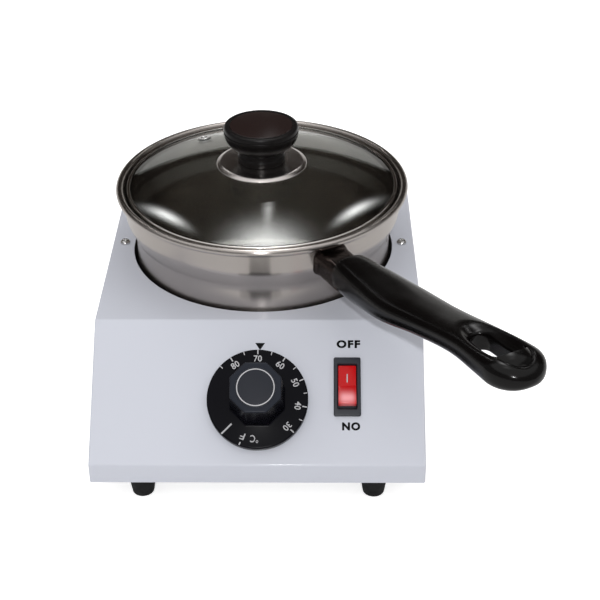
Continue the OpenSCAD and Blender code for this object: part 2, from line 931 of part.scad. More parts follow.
module thermostat_bracket() {
    color("#a7a9ac")
        on_panel(0, dial_down)
            difference() {
                translate([-thermostat_bracket_w / 2, -thermostat_bracket_l / 2, -thermostat_face])
                    cube([thermostat_bracket_w, thermostat_bracket_l, thermostat_bracket_t]);
                translate([0, 0, -thermostat_face - overrun])
                    cylinder(h = thermostat_bracket_t + 2 * overrun, r = bush_r + hole_gap);
                for (x = [-thermostat_screw_x, thermostat_screw_x])
                    translate([x, 0, -thermostat_face - overrun])
                        cylinder(h = thermostat_bracket_t + 2 * overrun, r = m4_r + turn_gap);
            }
}

module shaft_bush() {
    color("#c8a24a")
        on_panel(0, dial_down)
            translate([0, 0, -thermostat_face])
                difference() {
                    cylinder(h = thermostat_face + bush_h, r = bush_r);
                    translate([0, 0, -overrun])
                        cylinder(h = thermostat_face + bush_h + 2 * overrun, r = shaft_r + turn_gap);
                }
}

module thermostat_screws() {
    color("silver")
        on_panel(0, dial_down)
            for (x = [-thermostat_screw_x, thermostat_screw_x])
                translate([x, 0, 0])
                    pan_screw(m4_r, thermostat_screw_l, thermostat_head_r, thermostat_head_h);
}

module thermostat_shaft() {
    low = -thermostat_face - shaft_in;
    color("#b5b7ba")
        on_panel(0, dial_down)
            difference() {
                translate([0, 0, low])
                    cylinder(h = shaft_out - low, r = shaft_r);
                translate([-2 * shaft_r, shaft_flat, bush_h + turn_gap])
                    cube([4 * shaft_r, 2 * shaft_r, shaft_out]);
            }
}

module control_knob() {
    plate_z = skirt_h - dial_wall;
    flat_to_corner = 1 / cos(22.5);
    hollow_top = boss_top - boss_wall;
    color("#17171a")
        on_panel(0, dial_down)
            difference() {
                union() {
                    translate([0, 0, dial_lift])
                        cylinder(h = skirt_h - dial_lift, r = dial_r);
                    translate([0, 0, plate_z])
                        rotate([0, 0, 22.5])
                            cylinder(h = boss_h + dial_wall, r1 = boss_w / 2 * flat_to_corner,
                                r2 = boss_w / 2 * boss_taper_share * flat_to_corner, $fn = 8);
                }
                translate([0, 0, dial_lift - overrun])
                    cylinder(h = plate_z - dial_lift + overrun, r = dial_r - dial_wall);
                difference() {
                    translate([0, 0, plate_z - overrun])
                        cylinder(h = hollow_top - plate_z + overrun,
                            r = boss_w / 2 * boss_taper_share - boss_wall);
                    translate([0, 0, plate_z])
                        cylinder(h = hollow_top, r = hub_r);
                }
                difference() {
                    translate([0, 0, plate_z - overrun])
                        cylinder(h = shaft_out + turn_gap - plate_z + overrun,
                            r = shaft_r + turn_gap);
                    translate([-2 * shaft_r, shaft_flat + turn_gap, plate_z])
                        cube([4 * shaft_r, 2 * shaft_r, shaft_out]);
                }
                translate([0, 0, boss_top - badge_t])
                    cylinder(h = badge_t + overrun, r = badge_r + turn_gap);
            }
}

module knob_badge() {
    color("#26262b")
        on_panel(0, dial_down)
            translate([0, 0, boss_top - badge_t])
                cylinder(h = badge_t + badge_proud, r = badge_r);
}

module switch_body() {
    color("#1d2026")
        on_panel(switch_x, switch_down)
            difference() {
                union() {
                    translate([-bezel_w / 2, -bezel_l / 2, 0])
                        cube([bezel_w, bezel_l, bezel_h]);
                    translate([-switch_w / 2, -switch_l / 2, -switch_d])
                        cube([switch_w, switch_l, switch_d + bezel_h / 2]);
                }
                translate([-socket_w / 2, -socket_l / 2, -switch_cavity_d])
                    cube([socket_w, socket_l, switch_cavity_d + bezel_h + overrun]);
                translate([0, 0, -rocker_pivot])
                    rotate([0, 90, 0])
                        cylinder(h = socket_w + 2 * (rocker_pin_l + turn_gap),
                            r = rocker_pin_r + turn_gap, center = true);
            }
}

module switch_terminals() {
    color("#c8a24a")
        on_panel(switch_x, switch_down)
            for (i = [-1 : 1])
                translate([-tab_w / 2, i * switch_tab_pitch - tab_t / 2,
                    -switch_d - switch_tab_l])
                    cube([tab_w, tab_t, switch_tab_l]);
}

module switch_rocker() {
    w = socket_w - 2 * rocker_side_gap;
    top = rocker_pivot + rocker_rise;
    wing = top + rocker_half_l * tan(rocker_tilt);
    edge_l = rocker_half_l - rocker_edge_in;
    color("#d3121c")
        on_panel(switch_x, switch_down)
            translate([0, 0, -rocker_pivot])
                rotate([-rocker_tilt, 0, 0])
                    union() {
                        rotate([90, 0, 90])
                            linear_extrude(w, center = true)
                                polygon([[0, top], [-rocker_half_l, wing],
                                    [-edge_l, wing - rocker_edge_h],
                                    [-rocker_keel_half_l, -rocker_keel],
                                    [rocker_keel_half_l, -rocker_keel],
                                    [edge_l, wing - rocker_edge_h], [rocker_half_l, wing]]);
                        rotate([0, 90, 0])
                            cylinder(h = socket_w + 2 * rocker_pin_l, r = rocker_pin_r,
                                center = true);
                    }
}

module terminal_block() {
    color("#efe9da")
        translate([block_x, block_y, sheet_t])
            difference() {
                translate([-block_w / 2, -block_l / 2, 0])
                    cube([block_w, block_l, block_h]);
                for (i = [-1 : 1])
                    translate([i * block_pitch, 0, 0]) {
                        translate([0, 0, block_bore_z])
                            rotate([90, 0, 0])
                                cylinder(h = block_l + 2 * overrun, r = block_bore_r,
                                    center = true);
                        translate([0, 0, block_h - block_screw_h])
                            cylinder(h = block_screw_h + overrun, r = block_screw_r + turn_gap);
                    }
            }
}

module terminal_screws() {
    color("#c8a24a")
        translate([block_x, block_y, sheet_t])
            for (i = [-1 : 1])
                translate([i * block_pitch, 0, block_h - block_screw_h])
                    difference() {
                        cylinder(h = block_screw_h - block_screw_drop, r = block_screw_r);
                        translate([-block_screw_r - overrun, -cross_w / 2,
                            block_screw_h - block_screw_drop - cross_d])
                            cube([2 * (block_screw_r + overrun), cross_w, cross_d + overrun]);
                    }
}

module earth_stud() {
    color("silver")
        translate([earth_x, earth_y, sheet_t])
            cylinder(h = earth_stud_h, r = m4_r);
}

module earth_nut() {
    color("#c8a24a")
        translate([earth_x, earth_y, sheet_t])
            hex_nut(m4_nut_w, m4_nut_h, m4_r + turn_gap);
}

module at_gland() {
    translate([-gland_x, back_reach, gland_z])
        rotate([-90, 0, 0])
            children();
}

module gland_body() {
    color("#232326")
        at_gland()
            difference() {
                union() {
                    translate([0, 0, -gland_thread_l])
                        cylinder(h = gland_thread_l + join_in, r = gland_thread_r);
                    hex(gland_hex_w, gland_hex_t);
                    cylinder(h = gland_hex_t + gland_neck_l, r = gland_neck_r);
                }
                translate([0, 0, -gland_thread_l - overrun])
                    cylinder(h = gland_thread_l + gland_hex_t + gland_neck_l + 2 * overrun,
                        d = gland_bore_d);
            }
}

module gland_cap() {
    color("#232326")
        at_gland()
            translate([0, 0, gland_hex_t])
                difference() {
                    hex(gland_cap_w, gland_cap_l);
                    translate([0, 0, -overrun])
                        cylinder(h = gland_neck_l + overrun + hole_gap, r = gland_neck_r + turn_gap);
                    cylinder(h = gland_cap_l + overrun, d = gland_bore_d);
                }
}

module gland_nut() {
    color("#232326")
        at_gland()
            translate([0, 0, -sheet_t - gland_nut_t])
                hex_nut(gland_nut_w, gland_nut_t, gland_thread_r + turn_gap);
}

// Where the wires meet their terminals
function block_mouth(i) = [block_x + i * block_pitch, block_y + block_l / 2 - block_entry,
    sheet_t + block_bore_z];
function switch_tab(i) = panel_point(switch_x, -switch_down + i * switch_tab_pitch,
    -switch_d - switch_tab_l);
function thermostat_tab(side) = panel_point(side * thermostat_tab_x, -dial_down,
    -thermostat_back - thermostat_tab_l);
function element_pin(side) = [heater_r * cos(-90 + side * element_gap_angle / 2),
    heater_r * sin(-90 + side * element_gap_angle / 2),
    well_under_z - terminal_sleeve_l - terminal_pin_l];
function cutout_tab(side) = [side * cutout_tab_x, cutout_y,
    well_under_z - cutout_cap_h - cutout_body_h - cutout_tab_h];
// The two points of a lead, which runs straight from a terminal, with a small gap before it
function leads(end, dir, l) = [end + dir * wire_gap, end + dir * l];
function leads_in(end, dir, l) = [end + dir * l, end + dir * wire_gap];
inward = [0, sin(panel_angle), -cos(panel_angle)];
rearward = [0, 1, 0];
rightward = [1, 0, 0];
downward = [0, 0, -1];

module wire_live() {
    color("#6b3a1e")
        swept(concat(leads(block_mouth(0), rearward, wire_lead), live_route,
            leads_in(switch_tab(-1), inward, wire_lead)), wire_r);
}

module wire_switched() {
    color("#1c1c1c")
        swept(concat(leads(switch_tab(0), inward, wire_lead), switched_route,
            leads_in(thermostat_tab(1), inward, wire_lead)), wire_r);
}

module wire_cutout() {
    color("#1c1c1c")
        swept(concat(leads(thermostat_tab(-1), inward, wire_lead), cutout_route,
            leads_in(cutout_tab(-1), downward, pin_lead)), wire_r);
}

module wire_heater() {
    color("#e8e2cf")
        swept(concat(leads(cutout_tab(1), downward, pin_lead), heater_route,
            leads_in(element_pin(1), downward, pin_lead)), wire_r);
}

module wire_neutral() {
    color("#2a4a9c")
        swept(concat(leads(block_mouth(-1), rearward, wire_lead), neutral_route,
            leads_in(element_pin(-1), downward, pin_lead)), wire_r);
}

module wire_earth() {
    nut_side = [earth_x - m4_nut_w / 2 / cos(30), earth_y, sheet_t + m4_nut_h / 2];
    color("#4f9a3a")
        swept(concat(leads(block_mouth(1), rearward, wire_lead), earth_route,
            leads_in(nut_side, -rightward, pin_lead)), wire_r);
}

// Half the pan's section, grown outwards by a gap
module pan_outside(gap) {
    foot_r = pan_r + gap;
    top_r = collar_r + gap;
    polygon([[0, pan_z], [foot_r - pan_corner_r, pan_z], [foot_r, pan_z + pan_corner_r],
        [foot_r, pan_z + flare_h], [top_r, flare_top_z], [top_r, collar_top_z],
        [0, collar_top_z]]);
    translate([foot_r - pan_corner_r, pan_z + pan_corner_r])
        intersection() {
            circle(pan_corner_r);
            translate([0, -pan_corner_r])
                square(pan_corner_r);
        }
}

module pan_inside() {
    in_r = pan_r - pan_t;
    floor_z = pan_z + pan_base_t;
    corner_r = pan_corner_r - pan_t;
    flare_in_z = pan_z + flare_h + pan_t;
    polygon([[0, floor_z], [in_r - corner_r, floor_z], [in_r, floor_z + corner_r],
        [in_r, flare_in_z], [seat_in_r, flare_in_z + flare_in_l], [seat_in_r, seat_z],
        [collar_r - pan_t, seat_z], [collar_r - pan_t, rim_z + overrun],
        [0, rim_z + overrun]]);
    translate([in_r - corner_r, floor_z + corner_r])
        intersection() {
            circle(corner_r);
            translate([0, -corner_r])
                square(corner_r);
        }
}

module pan() {
    throat_share = 0.85;
    color("#c9ccd0")
        rotate_extrude() {
            difference() {
                pan_outside(0);
                pan_inside();
            }
            polygon([[collar_r - pan_t, collar_top_z], [collar_r, collar_top_z],
                [rim_r - rim_tube_r * (1 - throat_share), rim_z - rim_tube_r * throat_share],
                [rim_r - rim_tube_r * throat_share, rim_z]]);
            translate([rim_r, rim_z])
                circle(rim_tube_r);
        }
}

// The rim's throat and all inside it, grown by a gap
module room_under_rim(gap) {
    top_z = rim_z + rim_tube_r;
    polygon([[0, collar_top_z - gap], [collar_r + gap, collar_top_z - gap],
        [rim_r, rim_z - rim_tube_r - gap], [rim_r, top_z], [0, top_z]]);
}

module handle_bracket() {
    pad_in = collar_r + turn_gap;
    pad_out = pad_in + bracket_t / 2;
    color("#a7a9ac")
        along_handle()
            difference() {
                union() {
                    intersection() {
                        translate([0, 0, bracket_z + bracket_t / 2 - weld_pad_h / 2])
                            cylinder(h = weld_pad_h, r = pad_out);
                        translate([0, -weld_pad_w / 2, 0])
                            cube([pad_out, weld_pad_w, 2 * bracket_z]);
                    }
                    translate([pad_in, -bracket_w / 2, bracket_z])
                        cube([grip_start + bracket_end - pad_in, bracket_w, bracket_t]);
                }
                cylinder(h = 2 * bracket_z, r = pad_in);
                translate([screw_s, 0, bracket_z - overrun])
                    cylinder(h = bracket_t + 2 * overrun, r = m4_r + turn_gap);
            }
}

// A flat rounded tube's outline, standing across the handle
module ferrule_outline(inset) {
    w = ferrule_w - 2 * inset;
    h = ferrule_h - 2 * inset;
    r = ferrule_h / 3 - inset;
    for (x = [-1, 1])
        for (y = [-1, 1])
            translate([x * (w / 2 - r), y * (h / 2 - r)])
                circle(r, $fn = 40);
    square([w - 2 * r, h], center = true);
    square([w, h - 2 * r], center = true);
}

module ferrule_tube(inset, from, to) {
    translate([from, 0, ferrule_z])
        rotate([90, 0, 90])
            linear_extrude(to - from)
                ferrule_outline(inset);
}

module handle_ferrule() {
    root = pan_r;
    lip_end = collar_r + 3 * ferrule_flare;
    color("#8f9296")
        along_handle()
            difference() {
                union() {
                    ferrule_tube(0, root, grip_start);
                    ferrule_tube(-ferrule_flare / 2, root, lip_end);
                }
                ferrule_tube(ferrule_t, root - overrun, grip_start + overrun);
                rotate([0, 0, -handle_angle])
                    rotate_extrude() {
                        pan_outside(turn_gap);
                        room_under_rim(turn_gap);
                    }
            }
}

module handle_grip() {
    tip_start = 1 - grip_tip / grip_l;
    tip_slices = 8;
    body_slices = grip_slices - tip_slices;
    end_share = 0.1;
    shares = [for (k = [0 : grip_slices])
        k <= body_slices ? tip_start * k / body_slices
            : tip_start + (1 - tip_start) * sin(90 * (k - body_slices) / tip_slices)];
    shrink = [for (k = [0 : grip_slices])
        k <= body_slices ? 1 : max(end_share, cos(90 * (k - body_slices) / tip_slices))];
    points = [for (k = [0 : grip_slices]) let(
        half_w = grip_w / 2 * smooth(station_share, width_share, shares[k]) * shrink[k],
        half_t = grip_t / 2 * smooth(station_share, thick_share, shares[k]) * shrink[k],
        z = grip_z + grip_rise * smooth(station_share, rise_share, shares[k]))
        for (j = [0 : grip_sides - 1]) let(
            a = 360 * j / grip_sides,
            c = cos(a),
            s = sin(a))
            [grip_start + grip_l * shares[k],
                half_w * sign(c) * pow(abs(c), grip_square),
                z + half_t * sign(s) * pow(abs(s), grip_square)]];
    hang_z = grip_z + grip_rise * smooth(station_share, rise_share, hang_mid_share);
    hang_half_t = grip_t / 2 * smooth(station_share, thick_share, hang_mid_share);
    hang_s = grip_start + grip_l * hang_mid_share;
    hang_tilt = atan2(grip_rise * slope(station_share, rise_share, hang_station), grip_l);
    color("#141416")
        along_handle()
            difference() {
                loft_rings(points, grip_sides, grip_slices);
                translate([grip_start - overrun, -bracket_w / 2 - turn_gap, bracket_z - turn_gap])
                    cube([bracket_end + overrun + turn_gap, bracket_w + 2 * turn_gap,
                        bracket_t + 2 * turn_gap]);
                translate([screw_s, 0, bracket_z - handle_screw_l - grip_t])
                    cylinder(h = handle_screw_l + grip_t, r = m4_r + turn_gap);
                translate([screw_s, 0, bracket_z - handle_screw_l - grip_t])
                    cylinder(h = grip_t, r = handle_screw_head_r + hole_gap);
                translate([hang_s, 0, hang_z])
                    rotate([0, -hang_tilt, 0]) {
                        translate([0, 0, -grip_t])
                            slot(hang_l, hang_w, 2 * grip_t);
                        translate([0, 0, hang_half_t])
                            scale([dish_l / 2, dish_w / 2, dish_d])
                                sphere(1, $fn = 32);
                    }
            }
}

module handle_screw() {
    color("silver")
        along_handle()
            translate([screw_s, 0, bracket_z - handle_screw_l])
                rotate([180, 0, 0])
                    pan_screw(m4_r, handle_screw_l + bracket_t, handle_screw_head_r, m3_head_h);
}

module lid_glass() {
    color("#8d9a94", 0.4)
        difference() {
            rotate_extrude()
                intersection() {
                    translate([0, dome_centre_z])
                        difference() {
                            circle(dome_r, $fn = 720);
                            circle(dome_r - glass_t, $fn = 720);
                        }
                    translate([0, dome_centre_z + dome_r - lid_depth])
                        square([glass_edge_r, lid_depth + overrun]);
                }
            cylinder(h = 2 * dome_top_z, r = glass_hole_r);
            on_dome(vent_reach, vent_angle)
                translate([0, 0, -glass_t - overrun])
                    cylinder(h = glass_t + 2 * overrun, r = vent_r + hole_gap);
        }
}

// Puts a piece on the dome's outer face, standing along its normal
module on_dome(reach, angle) {
    translate([0, 0, dome_centre_z])
        rotate([0, 0, angle])
            rotate([0, asin(reach / dome_r), 0])
                translate([0, 0, dome_r])
                    children();
}

module lid_rim() {
    in_r = skirt_r - lid_skirt_t;
    under = dome_r - glass_t;
    crimp_z = dome_centre_z + sqrt(under * under - glass_edge_r * glass_edge_r) - turn_gap;
    color("#b9bcc0")
        rotate_extrude()
            polygon([[in_r, seat_z], [skirt_r, seat_z], [skirt_r, lid_rim_top_z],
                [lip_in_r, lid_rim_top_z], [lip_in_r, lid_rim_top_z - lip_t],
                [in_r, lid_rim_top_z - lip_t], [in_r, crimp_z], [lip_in_r, crimp_z],
                [lip_in_r, crimp_z - lip_t], [in_r, crimp_z - lip_t]]);
}

module lid_vent() {
    color("silver")
        on_dome(vent_reach, vent_angle)
            difference() {
                union() {
                    cylinder(h = vent_flange_t, r = vent_flange_r);
                    translate([0, 0, -glass_t - turn_gap - vent_flange_t])
                        cylinder(h = vent_flange_t, r = vent_flange_r);
                    translate([0, 0, -glass_t - turn_gap - vent_flange_t / 2])
                        cylinder(h = glass_t + vent_flange_t, r = vent_r);
                }
                translate([0, 0, -glass_t - 2 * overrun])
                    cylinder(h = glass_t + 4 * overrun, r = vent_bore_r);
            }
}

module lid_plate() {
    color("#c9ccd0")
        difference() {
            rotate_extrude() {
                polygon([[0, knob_z - plate_t], [plate_flat_r, knob_z - plate_t],
                    [plate_roll_x, plate_roll_z - plate_t / 2],
                    [plate_roll_x, plate_roll_z + plate_t / 2],
                    [plate_flat_r, knob_z], [0, knob_z]]);
                translate([plate_roll_x, plate_roll_z])
                    circle(plate_roll_r, $fn = 32);
            }
            cylinder(h = 2 * knob_z, r = lid_screw_r + hole_gap);
        }
}

module lid_knob() {
    steps = 12;
    neck_z = knob_foot_h + (knob_foot_r - knob_neck_r);
    bell = [for (k = [0 : steps]) let(u = k / steps)
        [knob_neck_r + (knob_r - knob_neck_r) * sin(90 * u),
            knob_neck_h + (knob_wide_h - knob_neck_h) * (1 - cos(90 * u)) / 2
                + (knob_wide_h - knob_neck_h) * u / 2]];
    color("#141416")
        translate([0, 0, knob_z])
            difference() {
                rotate_extrude()
                    polygon(concat([[0, 0], [knob_foot_r, 0], [knob_foot_r, knob_foot_h],
                        [knob_neck_r, neck_z]], bell, [[knob_r - knob_groove_r, knob_h],
                        [0, knob_h]]));
                rotate_extrude()
                    translate([knob_r, knob_wide_h + knob_groove_r])
                        circle(knob_groove_r, $fn = 24);
                translate([0, 0, knob_h - knob_cap_t])
                    cylinder(h = knob_cap_t + overrun, r = knob_cap_r + turn_gap);
                translate([0, 0, -overrun])
                    cylinder(h = knob_bore_h + overrun, r = lid_screw_r + turn_gap);
            }
}

module lid_knob_cap() {
    color("#2a211f")
        translate([0, 0, knob_z + knob_h - knob_cap_t])
            cylinder(h = knob_cap_t, r = knob_cap_r);
}

function under_glass(r) = let(u = dome_r - glass_t) dome_centre_z + sqrt(u * u - r * r);

module lid_screw() {
    head_z = under_glass(lid_washer_r) - turn_gap - lid_washer_t;
    color("silver")
        translate([0, 0, head_z])
            rotate([180, 0, 0])
                pan_screw(lid_screw_r, knob_z + knob_bore_h - hole_gap - head_z,
                    lid_screw_head_r, lid_screw_head_h);
}

module lid_washer() {
    color("silver")
        translate([0, 0, under_glass(lid_washer_r) - turn_gap - lid_washer_t])
            difference() {
                cylinder(h = lid_washer_t, r = lid_washer_r);
                translate([0, 0, -overrun])
                    cylinder(h = lid_washer_t + 2 * overrun, r = lid_screw_r + hole_gap);
            }
}

housing_front();
housing_deck();
housing_back();
housing_sides();
base_plate();
base_screws();
foot_front_left();
foot_front_right();
foot_rear_left();
foot_rear_right();
foot_screws();
foot_nuts();
heating_well();
well_screws();
well_nuts();
insulation_band();
heating_element();
element_strap();
strap_nut();
sensor_bulb();
bulb_clip();
capillary_tube();
thermal_cutout();
cutout_nuts();
thermostat_body();
thermostat_bracket();
shaft_bush();
thermostat_screws();
switch_body();
switch_terminals();
terminal_block();
terminal_screws();
earth_stud();
earth_nut();
gland_body();
gland_cap();
gland_nut();
wire_live();
wire_switched();
wire_heater();
wire_cutout();
wire_neutral();
wire_earth();
thermostat_shaft();
control_knob();
knob_badge();
switch_rocker();
pan();
handle_bracket();
handle_ferrule();
handle_grip();
handle_screw();
lid_glass();
lid_rim();
lid_vent();
lid_plate();
lid_knob();
lid_knob_cap();
lid_screw();
lid_washer();
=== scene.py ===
# %% [markdown]
# # A chocolate melting pot, worked out as surfaces
#
# The real object is a small kitchen appliance: a folded steel housing painted white, a polished
# pan that hangs in a heated well, a glass lid with a moulded knob, a thermostat dial and a rocker
# switch. Most of its pieces were spun, folded or moulded, so most of them here are a profile
# carried along a path. The first cell loads the measured model, which fixes where every piece
# goes, and keeps its box.

# %% Load the measured model
import bmesh
import bpy
import numpy as np
from mathutils import Matrix


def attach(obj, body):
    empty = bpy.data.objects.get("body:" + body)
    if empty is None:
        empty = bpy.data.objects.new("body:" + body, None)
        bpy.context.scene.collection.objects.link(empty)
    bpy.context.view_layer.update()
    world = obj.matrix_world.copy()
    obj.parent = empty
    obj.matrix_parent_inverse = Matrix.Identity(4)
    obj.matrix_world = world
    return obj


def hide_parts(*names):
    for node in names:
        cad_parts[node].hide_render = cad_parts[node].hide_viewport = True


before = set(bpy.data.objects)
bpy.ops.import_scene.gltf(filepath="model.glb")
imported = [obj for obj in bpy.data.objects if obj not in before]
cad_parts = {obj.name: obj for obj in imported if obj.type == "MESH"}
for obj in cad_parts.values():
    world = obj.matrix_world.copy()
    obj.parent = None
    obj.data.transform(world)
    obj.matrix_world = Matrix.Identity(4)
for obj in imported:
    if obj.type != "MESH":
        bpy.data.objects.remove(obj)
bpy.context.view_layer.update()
MM = 0.001

# %% [markdown]
# ## The camera
#
# A photograph fixes its camera: the straight edges and the circles of the housing and the pan
# were matched to it once, which gave the lens, the place and the three turns below. Writing the
# three turns as vectors, and not as Euler angles, keeps the order of the turns plain.

# %% Camera
LENS = 85.03
SENSOR = 36.0
NEAR, FAR = 0.02, 60.0
CAMERA_PLACE = np.array([28.23, -705.30, 463.37]) * MM
CAMERA_DOWN, CAMERA_TURN, CAMERA_ROLL = np.radians([31.940, -0.603, -0.265])


def camera_axes(down, turn, roll):
    """Right, up and backward: forward is tipped down, then turned about the vertical; right and
    up are then rolled about it."""
    forward = np.array([np.sin(turn) * np.cos(down), np.cos(turn) * np.cos(down), -np.sin(down)])
    level = np.array([np.cos(turn), -np.sin(turn), 0.0])
    upright = np.cross(level, forward)
    right = level * np.cos(roll) + upright * np.sin(roll)
    return np.stack([right, np.cross(right, forward), -forward], axis=1)


lens = bpy.data.cameras.new("photo_camera")
lens.lens, lens.sensor_width, lens.clip_start, lens.clip_end = LENS, SENSOR, NEAR, FAR
camera = bpy.data.objects.new("photo_camera", lens)
bpy.context.scene.collection.objects.link(camera)
pose = np.eye(4)
pose[:3, :3] = camera_axes(CAMERA_DOWN, CAMERA_TURN, CAMERA_ROLL)
pose[:3, 3] = CAMERA_PLACE
camera.matrix_world = Matrix(pose.tolist())
bpy.context.scene.camera = camera
print("camera", np.round(CAMERA_PLACE / MM), "mm, looking down", round(np.degrees(CAMERA_DOWN), 1))

# %% [markdown]
# ## Making a surface
#
# A ring is a closed row of points. A stack of rings with as many points each is a skin: quads
# join each ring to the next, and the first and last ring can be closed by a flat face. Turned
# pieces are rings of circles, folded and moulded ones are rings of outlines. Working with whole
# arrays means that the formula of a shape is one line, and that its density is one number.

# %% Rings into meshes
MERGE, SHORTEST = 2e-7, 1e-8


def creased(mesh, crease):
    """Shades a mesh smooth, with edges sharper than crease degrees left sharp."""
    mesh.shade_smooth()
    mesh.set_sharp_from_angle(angle=np.radians(crease))


def piece_from(name, points, faces, crease=40):
    """A mesh object from points in metres. Points that coincide are merged, which closes seams
    and poles, faces are turned outwards, and edges sharper than crease degrees stay sharp."""
    mesh = bpy.data.meshes.new(name)
    mesh.from_pydata(np.asarray(points, float).tolist(), [], faces)
    tidy = bmesh.new()
    tidy.from_mesh(mesh)
    bmesh.ops.remove_doubles(tidy, verts=tidy.verts, dist=MERGE)
    bmesh.ops.dissolve_degenerate(tidy, edges=tidy.edges, dist=SHORTEST)
    bmesh.ops.recalc_face_normals(tidy, faces=tidy.faces)
    tidy.to_mesh(mesh)
    tidy.free()
    creased(mesh, crease)
    made = bpy.data.objects.new(name, mesh)
    bpy.context.scene.collection.objects.link(made)
    return made


def skin_faces(rows, columns, capped, start=0):
    """Quads between each ring and the next: corner (i, j) is point i * columns + j, and j wraps
    round. Capped skins get one flat face on their first ring and one on their last."""
    i, j = np.meshgrid(np.arange(rows - 1), np.arange(columns), indexing="ij")
    k = (j + 1) % columns
    quads = np.stack([i * columns + j, i * columns + k, (i + 1) * columns + k,
                      (i + 1) * columns + j], axis=-1).reshape(-1, 4) + start
    faces = quads.tolist()
    if capped:
        faces.append((start + np.arange(columns)[::-1]).tolist())
        faces.append((start + (rows - 1) * columns + np.arange(columns)).tolist())
    return faces


def skinned(name, stacks, capped=True, crease=40):
    """One piece from one or several stacks of rings, each an array of rows, columns and 3, in
    millimetres."""
    points, faces = [], []
    for rings in stacks if isinstance(stacks, list) else [stacks]:
        rows, columns = rings.shape[:2]
        faces += skin_faces(rows, columns, capped, start=sum(len(p) for p in points))
        points.append(rings.reshape(-1, 3))
    return piece_from(name, np.concatenate(points) * MM, faces, crease)


def turned(profile, sides=180):
    """A profile of radius r and height h, carried round the vertical axis by the angle t:
    (r cos t, r sin t, h)."""
    r, h = np.asarray(profile, float).T
    t = np.linspace(0, 2 * np.pi, sides, endpoint=False)
    return np.stack([np.outer(r, np.cos(t)), np.outer(r, np.sin(t)),
                     np.outer(h, np.ones(sides))], axis=-1)


def looped(profile):
    """A profile that ends where it starts, for a piece that doesn't reach its axis."""
    return np.concatenate([profile, profile[:1]])


def eased(corners, radii, steps=6, closed=False):
    """A polygon whose corners are arcs: the arc of radius r between directions a and b starts
    r tan(half the turn) before the corner, and its points lie on it at even angles."""
    corners = np.asarray(corners, float)
    radii = np.broadcast_to(radii, len(corners))
    row = []
    for n, corner in enumerate(corners):
        ends = not closed and n in (0, len(corners) - 1)
        before = corner - corners[n - 1]
        after = corners[(n + 1) % len(corners)] - corner
        if ends or radii[n] == 0:
            row.append(corner[None])
            continue
        a, b = before / np.hypot(*before), after / np.hypot(*after)
        turn = np.arctan2(a[0] * b[1] - a[1] * b[0], a @ b)
        left = np.array([-a[1], a[0]]) * np.sign(turn)
        reach = radii[n] * np.tan(abs(turn) / 2)
        centre = corner - a * reach + left * radii[n]
        t = np.linspace(0, abs(turn), steps)[:, None]
        row.append(centre + radii[n] * (np.sin(t) * a - np.cos(t) * left))
    return np.concatenate(row)


def quarter_round(radius, steps):
    """Rows (short of the end, drawn in) of an edge that is rounded to a radius: r (1 - sin a)
    and r (1 - cos a), while a runs from 0 to a right angle."""
    a = np.linspace(0, np.pi / 2, steps)
    return np.column_stack([radius * (1 - np.sin(a)), radius * (1 - np.cos(a))])


def both_ends(x, drawn):
    """Pairs (place, drawn in) from the end at -x to the end at x, for a stack with two like
    ends."""
    return zip(np.concatenate([-x[::-1], x]), np.concatenate([drawn[::-1], drawn]))


print("helpers ready: a disc of", len(turned([[0, 0], [10, 0]])[1]), "points")

# %% [markdown]
# ## The control panel's own frame
#
# The dial and the switch stand square on the sloping panel. Their shapes are easiest to write in
# the panel's frame: x to the right, v up the slope from the deck's front edge, and w outwards.
# One matrix takes such points into the object's frame, and one function each sets a shape on the
# panel where the dial or the switch is.

# %% Panel frame
HOUSING_W, DECK_H, STRIP_H = 172.0, 62.1, 11.0
FRONT, DECK_FRONT, BACK = -138.9, -81.2, 79.6
SHEET, BEND = 1.0, 2.0
DIAL_DOWN, SWITCH_X, SWITCH_DOWN = 43.55, 46.1, 36.1
slope = np.arctan2(DECK_H - STRIP_H, DECK_FRONT - FRONT)
PANEL = np.array([[1, 0, 0], [0, np.cos(slope), np.sin(slope)], [0, -np.sin(slope), np.cos(slope)]])


def on_panel(points, x=0.0, down=0.0):
    """Panel points (x, v, w) in the object's frame, moved right by x and down the slope."""
    return (np.asarray(points, float) + [x, -down, 0]) @ PANEL + [0, DECK_FRONT, DECK_H]


def at_dial(points, lift=0.0):
    """Points round the dial's axis, raised off the panel by lift."""
    return on_panel(np.asarray(points) + [0, 0, lift], 0, DIAL_DOWN)


def at_switch(points, lift=0.0):
    """Points round the switch's middle, raised off the panel by lift."""
    return on_panel(np.asarray(points) + [0, 0, lift], SWITCH_X, SWITCH_DOWN)


print("panel slope", round(float(np.degrees(slope)), 2), "degrees")

# %% [markdown]
# ## Cutting and riding
#
# Holes are cut with Blender's own Boolean modifier, applied at once, so that each finished piece
# is a plain mesh. The same call can join two pieces. Each piece then takes its finish, the body
# that it moves with and the measured node that it stands for, in one call.

# %% Finishing a piece
def baked(piece, crease=40):
    """The piece with its modifiers made real."""
    bpy.context.view_layer.update()
    shown = piece.evaluated_get(bpy.context.evaluated_depsgraph_get())
    mesh = bpy.data.meshes.new_from_object(shown)
    piece.modifiers.clear()
    old = piece.data
    piece.data = mesh
    bpy.data.meshes.remove(old)
    creased(mesh, crease)
    return piece


def carved(piece, tools, operation="DIFFERENCE"):
    """The piece less its tools, or joined to them with UNION. The tools are removed."""
    for tool in tools:
        cut = piece.modifiers.new("cut", "BOOLEAN")
        cut.operation, cut.solver, cut.object = operation, "EXACT", tool
    baked(piece)
    for tool in tools:
        bpy.data.objects.remove(tool)
    return piece


